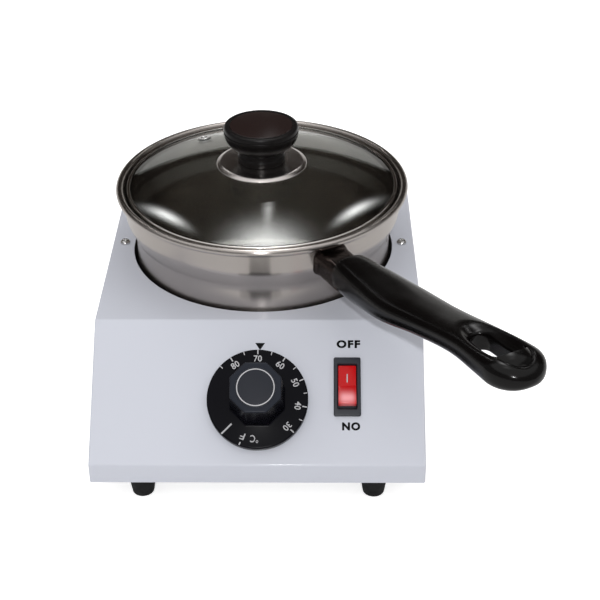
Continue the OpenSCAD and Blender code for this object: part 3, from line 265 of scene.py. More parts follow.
def dressed(piece, finish, body, stands_for=()):
    """Gives the piece its finish, lets it ride on its body and replace nodes."""
    piece.data.materials.clear()
    piece.data.materials.append(finish)
    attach(piece, body)
    if stands_for:
        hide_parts(*stands_for)
    return piece


print("cutting and dressing ready")

# %% [markdown]
# ## Finishes as expressions
#
# A material here is written the way one would write its formula: a socket is wrapped in a small
# class, and its sums, differences, products and powers add Math nodes. One method makes any other
# node from its type, its settings and the values or links of its inputs. What is the same all over
# a surface is set as a number on the shader's own input, so that it survives an export.

# %% Sockets with arithmetic
class Wire:
    """An output socket that can be used in sums, products and powers."""

    def __init__(self, finish, socket):
        self.finish, self.socket = finish, socket

    def calc(self, operation, *values):
        """The result of a Math node on values or sockets."""
        return self.finish.node("ShaderNodeMath", {"operation": operation}, values)

    def __add__(self, other):
        return self.calc("ADD", self, other)

    def __sub__(self, other):
        return self.calc("SUBTRACT", self, other)

    def __mul__(self, other):
        return self.calc("MULTIPLY", self, other)

    def __pow__(self, other):
        return self.calc("POWER", self, other)

    def sine(self):
        """The sine of this value: an even wave."""
        return self.calc("SINE", self)

    def halving(self):
        """One half to the power of this value: a patch that fades outwards."""
        return self.calc("POWER", 0.5, self)

    def ramp(self, low, high, to_low=0.0, to_high=1.0):
        """A smooth step from to_low, at low, to to_high, at high."""
        return self.finish.node("ShaderNodeMapRange", {"interpolation_type": "SMOOTHSTEP"},
                                {"Value": self, "From Min": low, "From Max": high,
                                 "To Min": to_low, "To Max": to_high})


class Finish:
    """A material whose shader takes constants by name, and nodes by one method."""

    def __init__(self, name, **constants):
        self.material = bpy.data.materials.new(name)
        self.material.use_nodes = True
        self.tree = self.material.node_tree
        self.shader = self.tree.nodes["Principled BSDF"]
        for socket, value in constants.items():
            value = (*value, 1.0) if isinstance(value, tuple) else value
            self.shader.inputs[socket.replace("_", " ")].default_value = value

    def node(self, kind, settings=None, inputs=(), out=0):
        """A new node's output, with its inputs given in their order or by name."""
        made = self.tree.nodes.new(kind)
        for key, value in (settings or {}).items():
            setattr(made, key, value)
        pairs = inputs.items() if isinstance(inputs, dict) else enumerate(inputs)
        for key, value in pairs:
            socket = made.inputs[key]
            if isinstance(value, Wire):
                self.tree.links.new(value.socket, socket)
            elif isinstance(value, tuple) and socket.type == "RGBA":
                socket.default_value = (*value, 1.0)
            else:
                socket.default_value = value
        return Wire(self, made.outputs[out])

    def place(self, scale=(1, 1, 1), turn=(0, 0, 0)):
        """The object's own coordinates, in metres, scaled and then turned."""
        here = self.node("ShaderNodeTexCoord", out="Object")
        return self.node("ShaderNodeMapping", {}, {"Vector": here, "Scale": scale,
                                                   "Rotation": turn})

    def part(self, vector, axis):
        """One coordinate of a vector: 0, 1 or 2 for X, Y or Z."""
        return self.node("ShaderNodeSeparateXYZ", {}, [vector], out=axis)

    def noise(self, vector, size, detail=3.0, rough=0.55):
        """Even noise from 0 to 1, of size waves to the unit and detail octaves."""
        return self.node("ShaderNodeTexNoise", {}, {"Vector": vector, "Scale": size,
                                                    "Detail": detail, "Roughness": rough})

    def mix(self, amount, low, high):
        """A colour between two others."""
        return self.node("ShaderNodeMix", {"data_type": "RGBA"}, {0: amount, 6: low, 7: high},
                         out=2)

    def panel_part(self, axis):
        """A coordinate in the panel's frame, in metres: 1 is v, up the slope from the deck's
        edge, and 2 is w, outwards from the panel."""
        y = self.part(self.place(), 1) - DECK_FRONT * MM
        z = self.part(self.place(), 2) - DECK_H * MM
        return y * PANEL[axis, 1] + z * PANEL[axis, 2]

    def bump(self, height, depth):
        """Relief of the given depth, in metres, as a normal."""
        return self.node("ShaderNodeBump", {}, {"Height": height, "Distance": depth,
                                                "Strength": 1.0})

    def feed(self, **links):
        """The material, with nodes linked to its shader's inputs by name."""
        for socket, value in links.items():
            self.tree.links.new(value.socket, self.shader.inputs[socket.replace("_", " ")])
        return self.material


print("finishes are expressions")

# %% [markdown]
# ## The housing
#
# The real housing is one sheet of steel, folded over the front, the panel, the deck and the back,
# with the two sides folded down and welded, then painted. The side view is an outline with rounded
# bends. Stacked along X, and drawn in a little over the last millimetre at both ends, it also
# gives the soft edge that the paint leaves on the sides. Its hollow, the flanges at its foot and
# its openings are all cut in one call.

# %% Housing
def side_outline(inset, floor=0.0):
    """The side view drawn in by inset: each straight runs parallel to the outer one, and each
    bend keeps its centre, so that its radius is the outer one less the inset."""
    shift = inset / np.cos(slope)
    front, top = FRONT + inset, DECK_H - inset
    corners = [[front, floor], [front, STRIP_H + (front - FRONT) * np.tan(slope) - shift],
               [FRONT + (top + shift - STRIP_H) / np.tan(slope), top],
               [BACK - inset, top], [BACK - inset, floor]]
    return eased(corners, np.array([0, 1, 1, 1, 0]) * max(BEND - inset, 0.3))


def housing_block(half_width, inset, floor, edge=0.0):
    """Side views stacked along X, with edges rounded to the given radius."""
    short, drawn = quarter_round(edge, 7 if edge else 1).T
    rings = []
    for x, depth in both_ends(half_width - short, inset + drawn):
        outline = side_outline(depth, floor)
        rings.append(np.column_stack([np.full(len(outline), x), outline]))
    return np.stack(rings)


def slab(low, high):
    """A box between two corners, as a stack of two rings."""
    (a, b, c), (d, e, f) = low, high
    ring = [[a, b], [d, b], [d, e], [a, e]]
    return np.stack([np.column_stack([ring, np.full(4, z)]) for z in (c, f)])


def rod(radius, low, high, x=0.0, y=0.0, sides=96):
    """An upright cylinder at (x, y), as a stack of two rings."""
    return turned([[radius, low], [radius, high]], sides) + [x, y, 0]


PAN_R, WELL_GAP = 71.4, 2.1
DECK_HOLE_R = PAN_R + WELL_GAP
WELL_SCREW_X = DECK_HOLE_R + 5.5
SWITCH_BODY_W, SWITCH_BODY_L = 12.4, 27.6
BUSH_HOLE_R, SCREW_HOLE_R = 5.1, 1.7
GLAND_HOLE_R, GLAND_X, GLAND_Z = 7.8, -58.0, 22.0
FLANGE = 10.0
PAINTED_EDGE = 1.0
CUT = 3.0
half = HOUSING_W / 2
inner = half - SHEET
deck_low, deck_high = DECK_H - CUT, DECK_H + CUT
cutouts = [housing_block(inner, SHEET, 2 * SHEET),
           slab((-inner, FRONT + SHEET, -1), (inner, BACK - SHEET, SHEET)),
           slab((FLANGE - inner, FRONT + SHEET + FLANGE, 0),
                (inner - FLANGE, BACK - SHEET - FLANGE, 3 * SHEET)),
           rod(DECK_HOLE_R, deck_low, deck_high, sides=256),
           at_switch(slab((-SWITCH_BODY_W / 2, -SWITCH_BODY_L / 2, -CUT),
                          (SWITCH_BODY_W / 2, SWITCH_BODY_L / 2, CUT))),
           at_dial(rod(BUSH_HOLE_R, -CUT, CUT)),
           rod(GLAND_HOLE_R, 0, 2 * CUT, sides=48)[..., [0, 2, 1]] + [GLAND_X, BACK - CUT, GLAND_Z]]
cutouts += [rod(SCREW_HOLE_R, deck_low, deck_high, x, sides=24)
            for x in (-WELL_SCREW_X, WELL_SCREW_X)]
housing = carved(skinned("housing", housing_block(half, 0, 0, PAINTED_EDGE)),
                 [skinned("tool", cutout) for cutout in cutouts])
print("housing", [round(d / MM, 1) for d in housing.dimensions], "mm,",
      len(housing.data.polygons), "faces")

# %% [markdown]
# ## The heating well and the feet
#
# The well is a shallow spun cup that hangs under the deck by its flange, and only the ring of dark
# between the pan and the deck shows it. Its flange is trimmed straight at the bends where the
# panel and the back come down. The feet are moulded rubber cones with a hollow for their screws.

# %% Well and feet
WELL_R, WELL_T, WELL_FLANGE_R = 73.3, 1.0, 83.5
WELL_TOP, WELL_FLOOR = DECK_H - SHEET, 21.5
cup = eased([[0, WELL_FLOOR], [WELL_R, WELL_FLOOR], [WELL_R, WELL_TOP], [WELL_FLANGE_R, WELL_TOP],
             [WELL_FLANGE_R, WELL_TOP - WELL_T], [WELL_R + WELL_T, WELL_TOP - WELL_T],
             [WELL_R + WELL_T, WELL_FLOOR - WELL_T], [0, WELL_FLOOR - WELL_T]],
            [0, 3, 0.8, 0.2, 0.2, 0.4, 4, 0])
TRIM_X, TRIM_Y, TRIM_LOW, TRIM_HIGH = 90, 99, 40, 70
trims = [slab((-TRIM_X, -TRIM_Y, TRIM_LOW), (TRIM_X, DECK_FRONT + BEND, TRIM_HIGH)),
         slab((-TRIM_X, BACK - BEND, TRIM_LOW), (TRIM_X, TRIM_Y, TRIM_HIGH))]
well = carved(skinned("heating_well", turned(cup, 220)), [skinned("tool", trim) for trim in trims])

FOOT_H, FOOT_X, FOOT_FRONT, FOOT_REAR = 12.8, 60.0, -129.5, 70.0
FOOT_TOP_R, FOOT_TREAD_R, FOOT_RECESS_R, FOOT_RECESS_H = 7.5, 5.5, 3.1, 6.0
foot_side = looped(eased([[SCREW_HOLE_R, 0], [FOOT_TOP_R, 0], [FOOT_TREAD_R, -FOOT_H],
                          [FOOT_RECESS_R, -FOOT_H], [FOOT_RECESS_R, FOOT_RECESS_H - FOOT_H],
                          [SCREW_HOLE_R, FOOT_RECESS_H - FOOT_H]],
                         [0, 0.5, 1.1, 0.4, 0, 0], closed=True))
feet = {f"foot_{end}_{side}": skinned(f"foot_{end}_{side}", turned(foot_side, 64) + [x, y, 0])
        for end, y in (("front", FOOT_FRONT), ("rear", FOOT_REAR))
        for side, x in (("left", -FOOT_X), ("right", FOOT_X))}
print("well and", len(feet), "feet")

# %% [markdown]
# ## The pan
#
# A steel disc is pressed into a cup, its mouth is spun out to a wider collar that holds the lid,
# and the edge is rolled outwards so that it is stiff and safe to pour over. All of that is one
# profile: the roll is most of a circle, and the lid's seat is the small step inside.

# %% Pan
COLLAR_R, PAN_T, PAN_FLOOR = 76.6, 0.8, 24.1
FLARE_Z, COLLAR_Z, COLLAR_TOP = 75.0, 86.4, 98.6
SEAT_Z, SEAT_W = 88.0, 1.5
ROLL_X, ROLL_Z, ROLL_R = 79.0, 100.9, 2.1
turns = np.radians(np.linspace(-142, 178, 41))[:, None]
roll = [ROLL_X, ROLL_Z] + ROLL_R * np.hstack([np.cos(turns), np.sin(turns)])
outside = eased([[0, WELL_FLOOR], [PAN_R, WELL_FLOOR], [PAN_R, FLARE_Z], [COLLAR_R, COLLAR_Z],
                 [COLLAR_R, COLLAR_TOP], roll[0]], [0, 6, 14, 9, 0.8, 0])
mouth, seat, bore = COLLAR_R - PAN_T, COLLAR_R - PAN_T - SEAT_W, PAN_R - PAN_T
inside = eased([roll[-1], [mouth, COLLAR_TOP - 1.3], [mouth, SEAT_Z], [seat, SEAT_Z],
                [seat, COLLAR_Z - 2.4], [bore, FLARE_Z + PAN_T], [bore, PAN_FLOOR],
                [0, PAN_FLOOR]], [0, 1.6, 0.3, 0.4, 4, 10, 5.2, 0])
pan = skinned("pan", turned(np.concatenate([outside, roll[1:-1], inside]), 288), crease=35)
print("pan", round(pan.dimensions.x / MM, 1), "mm over its roll")

# %% [markdown]
# ## The handle's steel ferrule
#
# A pressed sleeve covers the joint between the pan and the grip. Its section is a rounded
# rectangle. Its first ring is laid on the pan's own wall, so that the sleeve meets the pan without
# a gap wherever the wall is, and a small flare runs out along its first few millimetres.

# %% Ferrule
HANDLE = np.radians(-60.5)
ALONG = np.array([np.cos(HANDLE), np.sin(HANDLE), 0])
ACROSS = np.array([-np.sin(HANDLE), np.cos(HANDLE), 0])
GRIP_START, GRIP_L, GRIP_Z, GRIP_RISE = 95.0, 152.0, 92.5, 24.0
FERRULE_W, FERRULE_H, FERRULE_Z, FERRULE_BEND = 18.6, 15.0, 89.7, 5.0
FLARE_GROWTH, FLARE_REACH, FLARE_TOP = 0.09, 2.2, 7.4
WALL_SLOPE, IN_WALL, IN_GRIP = 0.456, 0.15, 0.4


def by_handle(s, w, z):
    """Points at s along the handle, w to its left and height z."""
    return s[..., None] * ALONG + w[..., None] * ACROSS + z[..., None] * [0, 0, 1]


def rounded_box(width, height, radius, steps=10):
    """The outline of a rectangle with rounded corners, round the origin."""
    w, h = width / 2, height / 2
    return eased([[w, -h], [w, h], [-w, h], [-w, -h]], radius, steps, closed=True)


def ferrule_rings():
    """Sections from the pan's wall to the grip: the share of the way is t, and the flare dies
    out as exp(-(18 t / reach)^2). The wall is the collar, and the cone below it."""
    w, z = rounded_box(FERRULE_W, FERRULE_H, FERRULE_BEND).T
    t = np.linspace(0, 1, 24)[:, None]
    flare = 1 + FLARE_GROWTH * np.exp(-((t * 18) / FLARE_REACH) ** 2)
    cone = COLLAR_R - (COLLAR_Z - FERRULE_Z - z) * WALL_SLOPE
    wall = np.minimum(COLLAR_R, cone) - IN_WALL
    on_wall = np.sqrt(wall ** 2 - (w * flare[0]) ** 2)
    s = on_wall * (1 - t) + (GRIP_START + IN_GRIP) * t
    return by_handle(s, w * flare, FERRULE_Z + np.minimum(z * flare, FLARE_TOP))


ferrule = skinned("ferrule", ferrule_rings())
print("ferrule ends at", GRIP_START, "mm along the handle")

# %% [markdown]
# ## The grip
#
# The grip is one moulding in heatproof plastic: a bar whose width, thickness and height swell and
# narrow along it, with a rounded tip, a slot to hang it by, and a shallow dish round the slot. Its
# edges are soft everywhere, which a cut with a tool can't give. So the shape is also written as a
# field that is zero on the surface, with smooth maxima where one form cuts another. The cut bar
# gives the right topology, an even mesh is laid over it, and each point then walks along the
# field's gradient until the field is zero.

# %% Grip
STATION = np.array([0, 0.04, 0.16, 0.33, 0.52, 0.70, 0.84, 0.93, 1])
WIDTH = 15.0 * np.array([0.70, 0.76, 0.88, 0.98, 0.86, 0.84, 0.95, 1, 1])
THICK = 9.7 * np.array([0.96, 1, 0.94, 0.80, 0.66, 0.66, 0.76, 0.84, 0.86])
RISE = GRIP_Z + GRIP_RISE * np.array([0, 0.02, 0.12, 0.30, 0.58, 0.84, 0.96, 1, 1])
TIP, SECTION = 17.0, 2 / 0.78
HANG_SHARE = 0.81
HANG = GRIP_START + HANG_SHARE * GRIP_L
SLOT_R = 5.25
SLOT_HALF = 29.0 / 2 - SLOT_R
DISH, DISH_TILT = np.array([26.0, 9.5, 5.4]), 0.09
SCREW_S, SCREW_R, SCREW_TOP = 13, 3.8, 83.6
SOFT_START, SOFT_DISH, SOFT_SLOT, SOFT_SCREW, SOFT_FLOOR = 1.6, 1.1, 1.5, 0.6, 0.3
EVEN_MESH = 0.62
SIDES = 56


def smooth(at, values):
    """Cubic pieces through the values at the stations: each takes its slope at a station from the
    stations on both sides."""
    last = len(STATION) - 1
    low, high = np.maximum(np.arange(last + 1) - 1, 0), np.minimum(np.arange(last + 1) + 1, last)
    tilt = (values[high] - values[low]) / (STATION[high] - STATION[low])
    i = np.clip(np.searchsorted(STATION, at, side="right") - 1, 0, last - 1)
    h = STATION[i + 1] - STATION[i]
    u = (at - STATION[i]) / h
    return ((1 + 2 * u) * (1 - u) ** 2 * values[i] + u * (1 - u) ** 2 * h * tilt[i]
            + u * u * (3 - 2 * u) * values[i + 1] + u * u * (u - 1) * h * tilt[i + 1])


def either(a, b, k):
    """The larger of two fields, blended over about k where they are alike."""
    blend = np.clip(0.5 + 0.5 * (a - b) / k, 0, 1)
    return b + (a - b) * blend + k * blend * (1 - blend)


def grip_field(p):
    """About the distance outside the grip of points (s, w, z) along the handle."""
    s, w, z = p.T
    share = np.clip((s - GRIP_START) / GRIP_L, 0, 1)
    thick = smooth(share, THICK)
    middle = smooth(share, RISE)
    ring = (np.abs(w) / smooth(share, WIDTH)) ** SECTION + (np.abs(z - middle) / thick) ** SECTION
    tip = np.maximum(0, s - (GRIP_START + GRIP_L - TIP)) / TIP
    bar = (np.sqrt(ring ** (2 / SECTION) + tip ** 2) - 1) * thick
    bar = either(bar, GRIP_START - s, SOFT_START)
    slot = SLOT_R - np.hypot(np.maximum(np.abs(s - HANG) - SLOT_HALF, 0), w)
    hang = np.array(HANG_SHARE)
    out_s, out_z = s - HANG, z - smooth(hang, RISE) - smooth(hang, THICK)
    tilted = np.stack([out_s + DISH_TILT * out_z, w, out_z - DISH_TILT * out_s])
    dish = (1 - np.sqrt(((tilted / DISH[:, None]) ** 2).sum(0))) * DISH[2] * 0.9
    from_screw = np.hypot(s - GRIP_START - SCREW_S, w) - SCREW_R
    screw = -either(from_screw, z - SCREW_TOP, SOFT_FLOOR)
    carved_bar = either(either(bar, dish, SOFT_DISH), slot, SOFT_SLOT)
    return either(carved_bar, screw, SOFT_SCREW)


def grip_bar():
    """The bar without its cuts: at the angle t its section is cos t and sin t, each to a power
    below 1, and over the tip the sections shrink as a quarter of an ellipse."""
    tip = TIP / GRIP_L
    share = np.concatenate([np.linspace(0, 1 - tip, 60),
                            1 - tip * (1 - np.sin(np.linspace(0, np.pi / 2, 20)[1:]))])
    shrink = np.sqrt(np.maximum(1 - np.maximum(0, (share - 1) * GRIP_L / TIP + 1) ** 2, 1e-4))
    t = np.linspace(0, 2 * np.pi, SIDES, endpoint=False)
    wide, high = (np.sign(f) * np.abs(f) ** (2 / SECTION) for f in (np.cos(t), np.sin(t)))
    return by_handle(np.outer(GRIP_START + share * GRIP_L, np.ones(SIDES)),
                     np.outer(smooth(share, WIDTH) * shrink, wide),
                     smooth(share, RISE)[:, None] + np.outer(smooth(share, THICK) * shrink, high))


def hang_slot():
    """The slot as an upright prism with two round ends."""
    half_turn = np.linspace(-np.pi / 2, np.pi / 2, 24)
    s = np.concatenate([SLOT_HALF + SLOT_R * np.cos(half_turn),
                        -SLOT_HALF - SLOT_R * np.cos(half_turn)])
    w = np.concatenate([SLOT_R * np.sin(half_turn), -SLOT_R * np.sin(half_turn)])
    return np.stack([by_handle(HANG + s, w, np.full(len(s), z)) for z in (85.0, 140.0)])


def walked(local, rounds=12, probe=0.03, longest=0.8, flattest=0.05):
    """Points moved on to the surface: each round steps along the field's gradient by the field
    over the gradient's square. The limits on both keep a step short where the field is flat."""
    for _ in range(rounds):
        here = grip_field(local)
        slopes = np.stack([(grip_field(local + d) - grip_field(local - d)) / (2 * probe)
                           for d in np.eye(3) * probe], axis=1)
        step = here / np.maximum((slopes ** 2).sum(1), flattest)
        local = local - np.clip(step, -longest, longest)[:, None] * slopes
    return local


screw_hole = rod(SCREW_R, 70.0, SCREW_TOP, *((GRIP_START + SCREW_S) * ALONG)[:2], sides=48)
grip = carved(skinned("grip", grip_bar()),
              [skinned("tool", hang_slot()), skinned("tool", screw_hole)])
even = grip.modifiers.new("even", "REMESH")
even.mode, even.voxel_size = "VOXEL", EVEN_MESH * MM
baked(grip)
points = np.zeros(len(grip.data.vertices) * 3, np.float32)
grip.data.vertices.foreach_get("co", points)
points = points.reshape(-1, 3) / MM
local = walked(np.stack([points @ ALONG, points @ ACROSS, points[:, 2]], axis=1))
grip.data.vertices.foreach_set("co", (by_handle(*local.T) * MM).ravel())
grip.data.update()
grip.data.set_sharp_from_angle(angle=np.radians(80))
print("grip:", len(local), "points, furthest from the field",
      round(float(np.abs(grip_field(local)).max()), 3))

# %% [markdown]
# ## The lid
#
# The lid is a pressed dome of tempered glass with a band of steel crimped round its edge. The
# glass is a thick shell between two spheres with one centre. The knob's thin plate, the knob and
# its cap are turned pieces on the same axis.

# %% Lid
DOME_R, GLASS_T, DOME_Z = 217.0, 4.0, -102.86
GLASS_R, GLASS_HOLE_R, GLASS_EDGE = 74.45, 3.4, 0.5
UNDER_R = DOME_R - GLASS_T


def dome(radius, r):
    """The height of a sphere about the dome's centre, at r from the axis."""
    return DOME_Z + np.sqrt(radius ** 2 - r ** 2)


r = np.linspace(GLASS_HOLE_R, GLASS_R - GLASS_EDGE, 70)
glass_side = np.concatenate([
    np.column_stack([r, dome(DOME_R, r)]),
    [[GLASS_R, dome(DOME_R, GLASS_R) - GLASS_EDGE], [GLASS_R, dome(UNDER_R, GLASS_R) + GLASS_EDGE]],
    np.column_stack([r, dome(UNDER_R, r)])[::-1]])
glass = skinned("lid_glass", turned(looped(glass_side), 256), capped=False)

RIM_R, RIM_SIDE_T, RIM_LIP_R, RIM_TOP, RIM_LIP_T = 75.3, 0.8, 73.4, 102.0, 0.6
rim_in, lip_low = RIM_R - RIM_SIDE_T, RIM_TOP - RIM_LIP_T
band = looped(eased([[rim_in, SEAT_Z], [RIM_R, SEAT_Z], [RIM_R, RIM_TOP],
                     [RIM_LIP_R, RIM_TOP], [RIM_LIP_R, lip_low], [rim_in, lip_low]],
                    [0.2, 0.3, 0.9, 0.25, 0.1, 0.2], closed=True))
rim = skinned("lid_rim", turned(band, 256), capped=False)

PLATE_TOP, PLATE_T, PLATE_HOLE_R, PLATE_FLAT_R = 115.54, 0.6, 2.2, 15
plate_low = PLATE_TOP - PLATE_T
plate_side = looped(eased([[PLATE_HOLE_R, PLATE_TOP], [PLATE_FLAT_R, PLATE_TOP], [22.4, 115.0],
                           [24.6, 113.8], [25.1, 113.3], [24.2, 112.84], [23.4, 113.4],
                           [PLATE_FLAT_R, plate_low], [PLATE_HOLE_R, plate_low]],
                          [0, 6, 4, 0.6, 0.3, 0.4, 0.5, 6, 0], closed=True))
plate = skinned("knob_plate", turned(plate_side, 180), capped=False, crease=60)

KNOB_R, KNOB_H, NECK_R, NECK_H, BELL_H = 20.5, 20.7, 12.3, 6.4, 11.0
CAP_R, CAP_GAP, CAP_LOW = 17.2, 0.1, 19.5
GROOVE_R, GROOVE_Z = 0.5, 17.9
u = np.linspace(0, 1, 26)
bell = np.column_stack([NECK_R + (KNOB_R - NECK_R) * np.sin(np.pi / 2 * u),
                        NECK_H + BELL_H * ((1 - np.cos(np.pi / 2 * u)) + u) / 2])
turns = np.radians(np.linspace(-88, 88, 15))
groove = [KNOB_R, GROOVE_Z] + GROOVE_R * np.column_stack([-np.cos(turns), np.sin(turns)])
recess_r = CAP_R + CAP_GAP
knob_side = np.concatenate([
    eased([[0, 0], [13, 0], [13, 2.9], [NECK_R, 3.6], [NECK_R, NECK_H]], [0, 0.4, 0.5, 0.3, 0]),
    bell[1:], groove,
    eased([[KNOB_R, GROOVE_Z + GROOVE_R], [20.1, KNOB_H], [recess_r, KNOB_H]], [0, 1.4, 0])[1:],
    [[recess_r, CAP_LOW], [0, CAP_LOW]]])
knob = skinned("lid_knob", turned(knob_side + [0, PLATE_TOP], 180), crease=50)
cap_side = eased([[0, CAP_LOW], [CAP_R, CAP_LOW], [CAP_R, KNOB_H], [0, KNOB_H]], [0, 0, 0.35, 0])
cap = skinned("knob_cap", turned(cap_side + [0, PLATE_TOP], 128))

VENT_REACH, VENT_WAY = 57.4, np.radians(127.6)
lean = np.arcsin(VENT_REACH / DOME_R)
eyelet = looped(eased([[1.6, 0.7], [4.2, 0.7], [4.2, 0.02], [3.2, 0], [3.2, -4.1], [4.2, -4.1],
                       [4.2, -4.7], [1.6, -4.7]], [0.5, 0.35, 0.1, 0, 0, 0.1, 0.3, 0.3], closed=True))
upright = np.array([np.sin(lean) * np.cos(VENT_WAY), np.sin(lean) * np.sin(VENT_WAY),
                    np.cos(lean)])
sideways = np.array([-np.sin(VENT_WAY), np.cos(VENT_WAY), 0])
stand = np.stack([np.cross(sideways, upright), sideways, upright])
vent = skinned("lid_vent", turned(eyelet, 48) @ stand + DOME_R * upright + [0, 0, DOME_Z],
               capped=False)
print("lid: glass", round(glass.dimensions.x / MM, 1), "mm across, knob top at",
      round(PLATE_TOP + KNOB_H, 2))

# %% [markdown]
# ## The thermostat dial
#
# The dial is a round skirt that carries the scale, and a faceted boss to hold. An octagon with
# rounded corners, drawn in slightly towards its top, is the boss: such a taper lets the moulding
# leave its tool. A steel disc closes the top.

# %% Dial
DIAL_R, DIAL_LOW, SKIRT_H, DIAL_BORE_R = 26.0, 0.8, 6.0, 3.2
BOSS_SIDES, BOSS_W, BOSS_TOP, BOSS_CORNER, BOSS_TAPER = 8, 27.6, 31.5, 1.3, 0.93
BOSS_FOOT, BOSS_EDGE = 0.7, 0.9
BADGE_R, BADGE_LOW, BADGE_TOP = 10.2, BOSS_TOP - 0.5, BOSS_TOP + 0.25


def prism(sides, width, radius, heights, steps=5):
    """Polygons with rounded corners stacked at the heights (w, drawn in by): the distance between
    opposite flats is the width, less twice what each is drawn in by."""
    a = 2 * np.pi * (np.arange(sides) + 0.5) / sides
    unit = np.column_stack([np.cos(a), np.sin(a)])
    flat = np.cos(np.pi / sides)
    rings = []
    for w, drawn in heights:
        corners = unit * (width / 2 - drawn) / flat
        ring = eased(corners, max(radius - drawn * 0.5, 0.2), steps, closed=True)
        rings.append(np.column_stack([ring, np.full(len(ring), w)]))
    return np.stack(rings)


skirt_side = looped(eased([[DIAL_BORE_R, DIAL_LOW], [DIAL_R, DIAL_LOW], [DIAL_R, SKIRT_H],
                           [9, SKIRT_H], [DIAL_BORE_R, SKIRT_H + 2]],
                          [0, 0.3, 0.9, 0, 0], closed=True))
draft = BOSS_W / 2 * (1 - BOSS_TAPER)
boss_foot = [(SKIRT_H + short, -drawn) for short, drawn in quarter_round(BOSS_FOOT, 7)[::-1]]
boss_edge = [(BOSS_TOP - short, draft + drawn) for short, drawn in quarter_round(BOSS_EDGE, 7)]
boss = prism(BOSS_SIDES, BOSS_W, BOSS_CORNER, [(SKIRT_H - 1, 0)] + boss_foot + boss_edge)
dial = skinned("dial", [at_dial(turned(skirt_side)), at_dial(boss)], crease=35)
badge_side = eased([[0, BADGE_LOW], [BADGE_R, BADGE_LOW], [BADGE_R, BADGE_TOP], [0, BADGE_TOP]],
                   [0, 0, 0.2, 0])
badge = skinned("dial_badge", at_dial(turned(badge_side, 128)))
print("dial", round(dial.dimensions.x / MM, 1), "mm across")

# %% [markdown]
# ## The rocker switch
#
# A snap-in rocker is a moulded frame with a red paddle that tips over a pin. The frame is a stack
# of rounded rectangles with its socket cut out. The paddle is a bar with a shallow V for its top,
# tipped so that one wing lies level and the other rises.

# %% Switch
BEZEL_W, BEZEL_L, BEZEL_H, BEZEL_CORNER, BEZEL_EDGE = 14.0, 31.0, 1.8, 0.9, 0.5
BODY_DEPTH, BODY_OVERLAP = 21.0, 0.4
SOCKET_W, SOCKET_L, SOCKET_DEPTH = 9.7, 23.6, 12.0
ROCKER_W, ROCKER_HALF_L, ROCKER_MIDDLE = SOCKET_W - 0.5, 10.8, 3.0
PIVOT, WING_LIFT, TILT = 2.0, 1.0, np.radians(11)


def frame_stack(width, length, radius, heights, steps=6):
    """Rounded rectangles stacked at the heights (w, drawn in by)."""
    rings = []
    for w, drawn in heights:
        corner = max(radius - drawn, 0.15)
        ring = rounded_box(width - 2 * drawn, length - 2 * drawn, corner, steps)
        rings.append(np.column_stack([ring, np.full(len(ring), w)]))
    return np.stack(rings)


def rocker_rings():
    """The paddle's side view stacked along X, drawn in a little at both ends, and tipped about
    its pin."""
    wing = PIVOT + WING_LIFT + ROCKER_HALF_L * np.tan(TILT)
    side = eased([[0, ROCKER_MIDDLE], [-ROCKER_HALF_L, wing], [-10.6, wing - 4.2], [-3, -7],
                  [3, -7], [10.6, wing - 4.2], [ROCKER_HALF_L, wing]],
                 [1.2, 0.7, 0.4, 0.5, 0.5, 0.4, 0.7], closed=True)
    centre = np.array([0, -0.5])
    short, drawn = quarter_round(1.0, 5).T
    rings = [np.column_stack([np.full(len(side), x), centre + (side - centre) * size])
             for x, size in both_ends(ROCKER_W / 2 - 0.35 * short, 1 - 0.03 * drawn)]
    tip = np.array([[1, 0, 0], [0, np.cos(TILT), -np.sin(TILT)], [0, np.sin(TILT), np.cos(TILT)]])
    return np.stack(rings) @ tip


bezel_edge = [(BEZEL_H - short, drawn) for short, drawn in quarter_round(BEZEL_EDGE, 6)]
collar = frame_stack(BEZEL_W, BEZEL_L, BEZEL_CORNER, [(0, 0)] + bezel_edge)
body = frame_stack(SWITCH_BODY_W, SWITCH_BODY_L, 0.6, [(-BODY_DEPTH, 0), (BODY_OVERLAP, 0)])
socket = frame_stack(SOCKET_W, SOCKET_L, 0.5,
                     [(-SOCKET_DEPTH, 0), (1.3, 0), (1.9, -0.5), (3.0, -1.0)])
bezel = carved(skinned("switch_body", at_switch(collar)), [skinned("tool", at_switch(body))],
               "UNION")
bezel = carved(bezel, [skinned("tool", at_switch(socket))])
rocker = skinned("rocker", at_switch(rocker_rings(), -PIVOT), crease=32)
print("rocker", [round(d / MM, 1) for d in rocker.dimensions], "mm")

# %% [markdown]
# ## Lettering and marks
#
# The scale on the dial, the words beside the switch and the pointer above the dial are printed.
# Each is a thin solid that stands a few hundredths of a millimetre proud, which is about how thick
# such ink is. Text is turned into a mesh first and then stretched to the box that it fills in the
# photograph, so that its place doesn't depend on the font. The scale's numbers are two even steps
# apart, with a short mark between them.

# %% Printed marks
INK = 0.03
NUMBER_BOLD, SIGN_BOLD, WORD_BOLD = 0.012, 0.01, 0.055
LETTERS_APART = 3.5


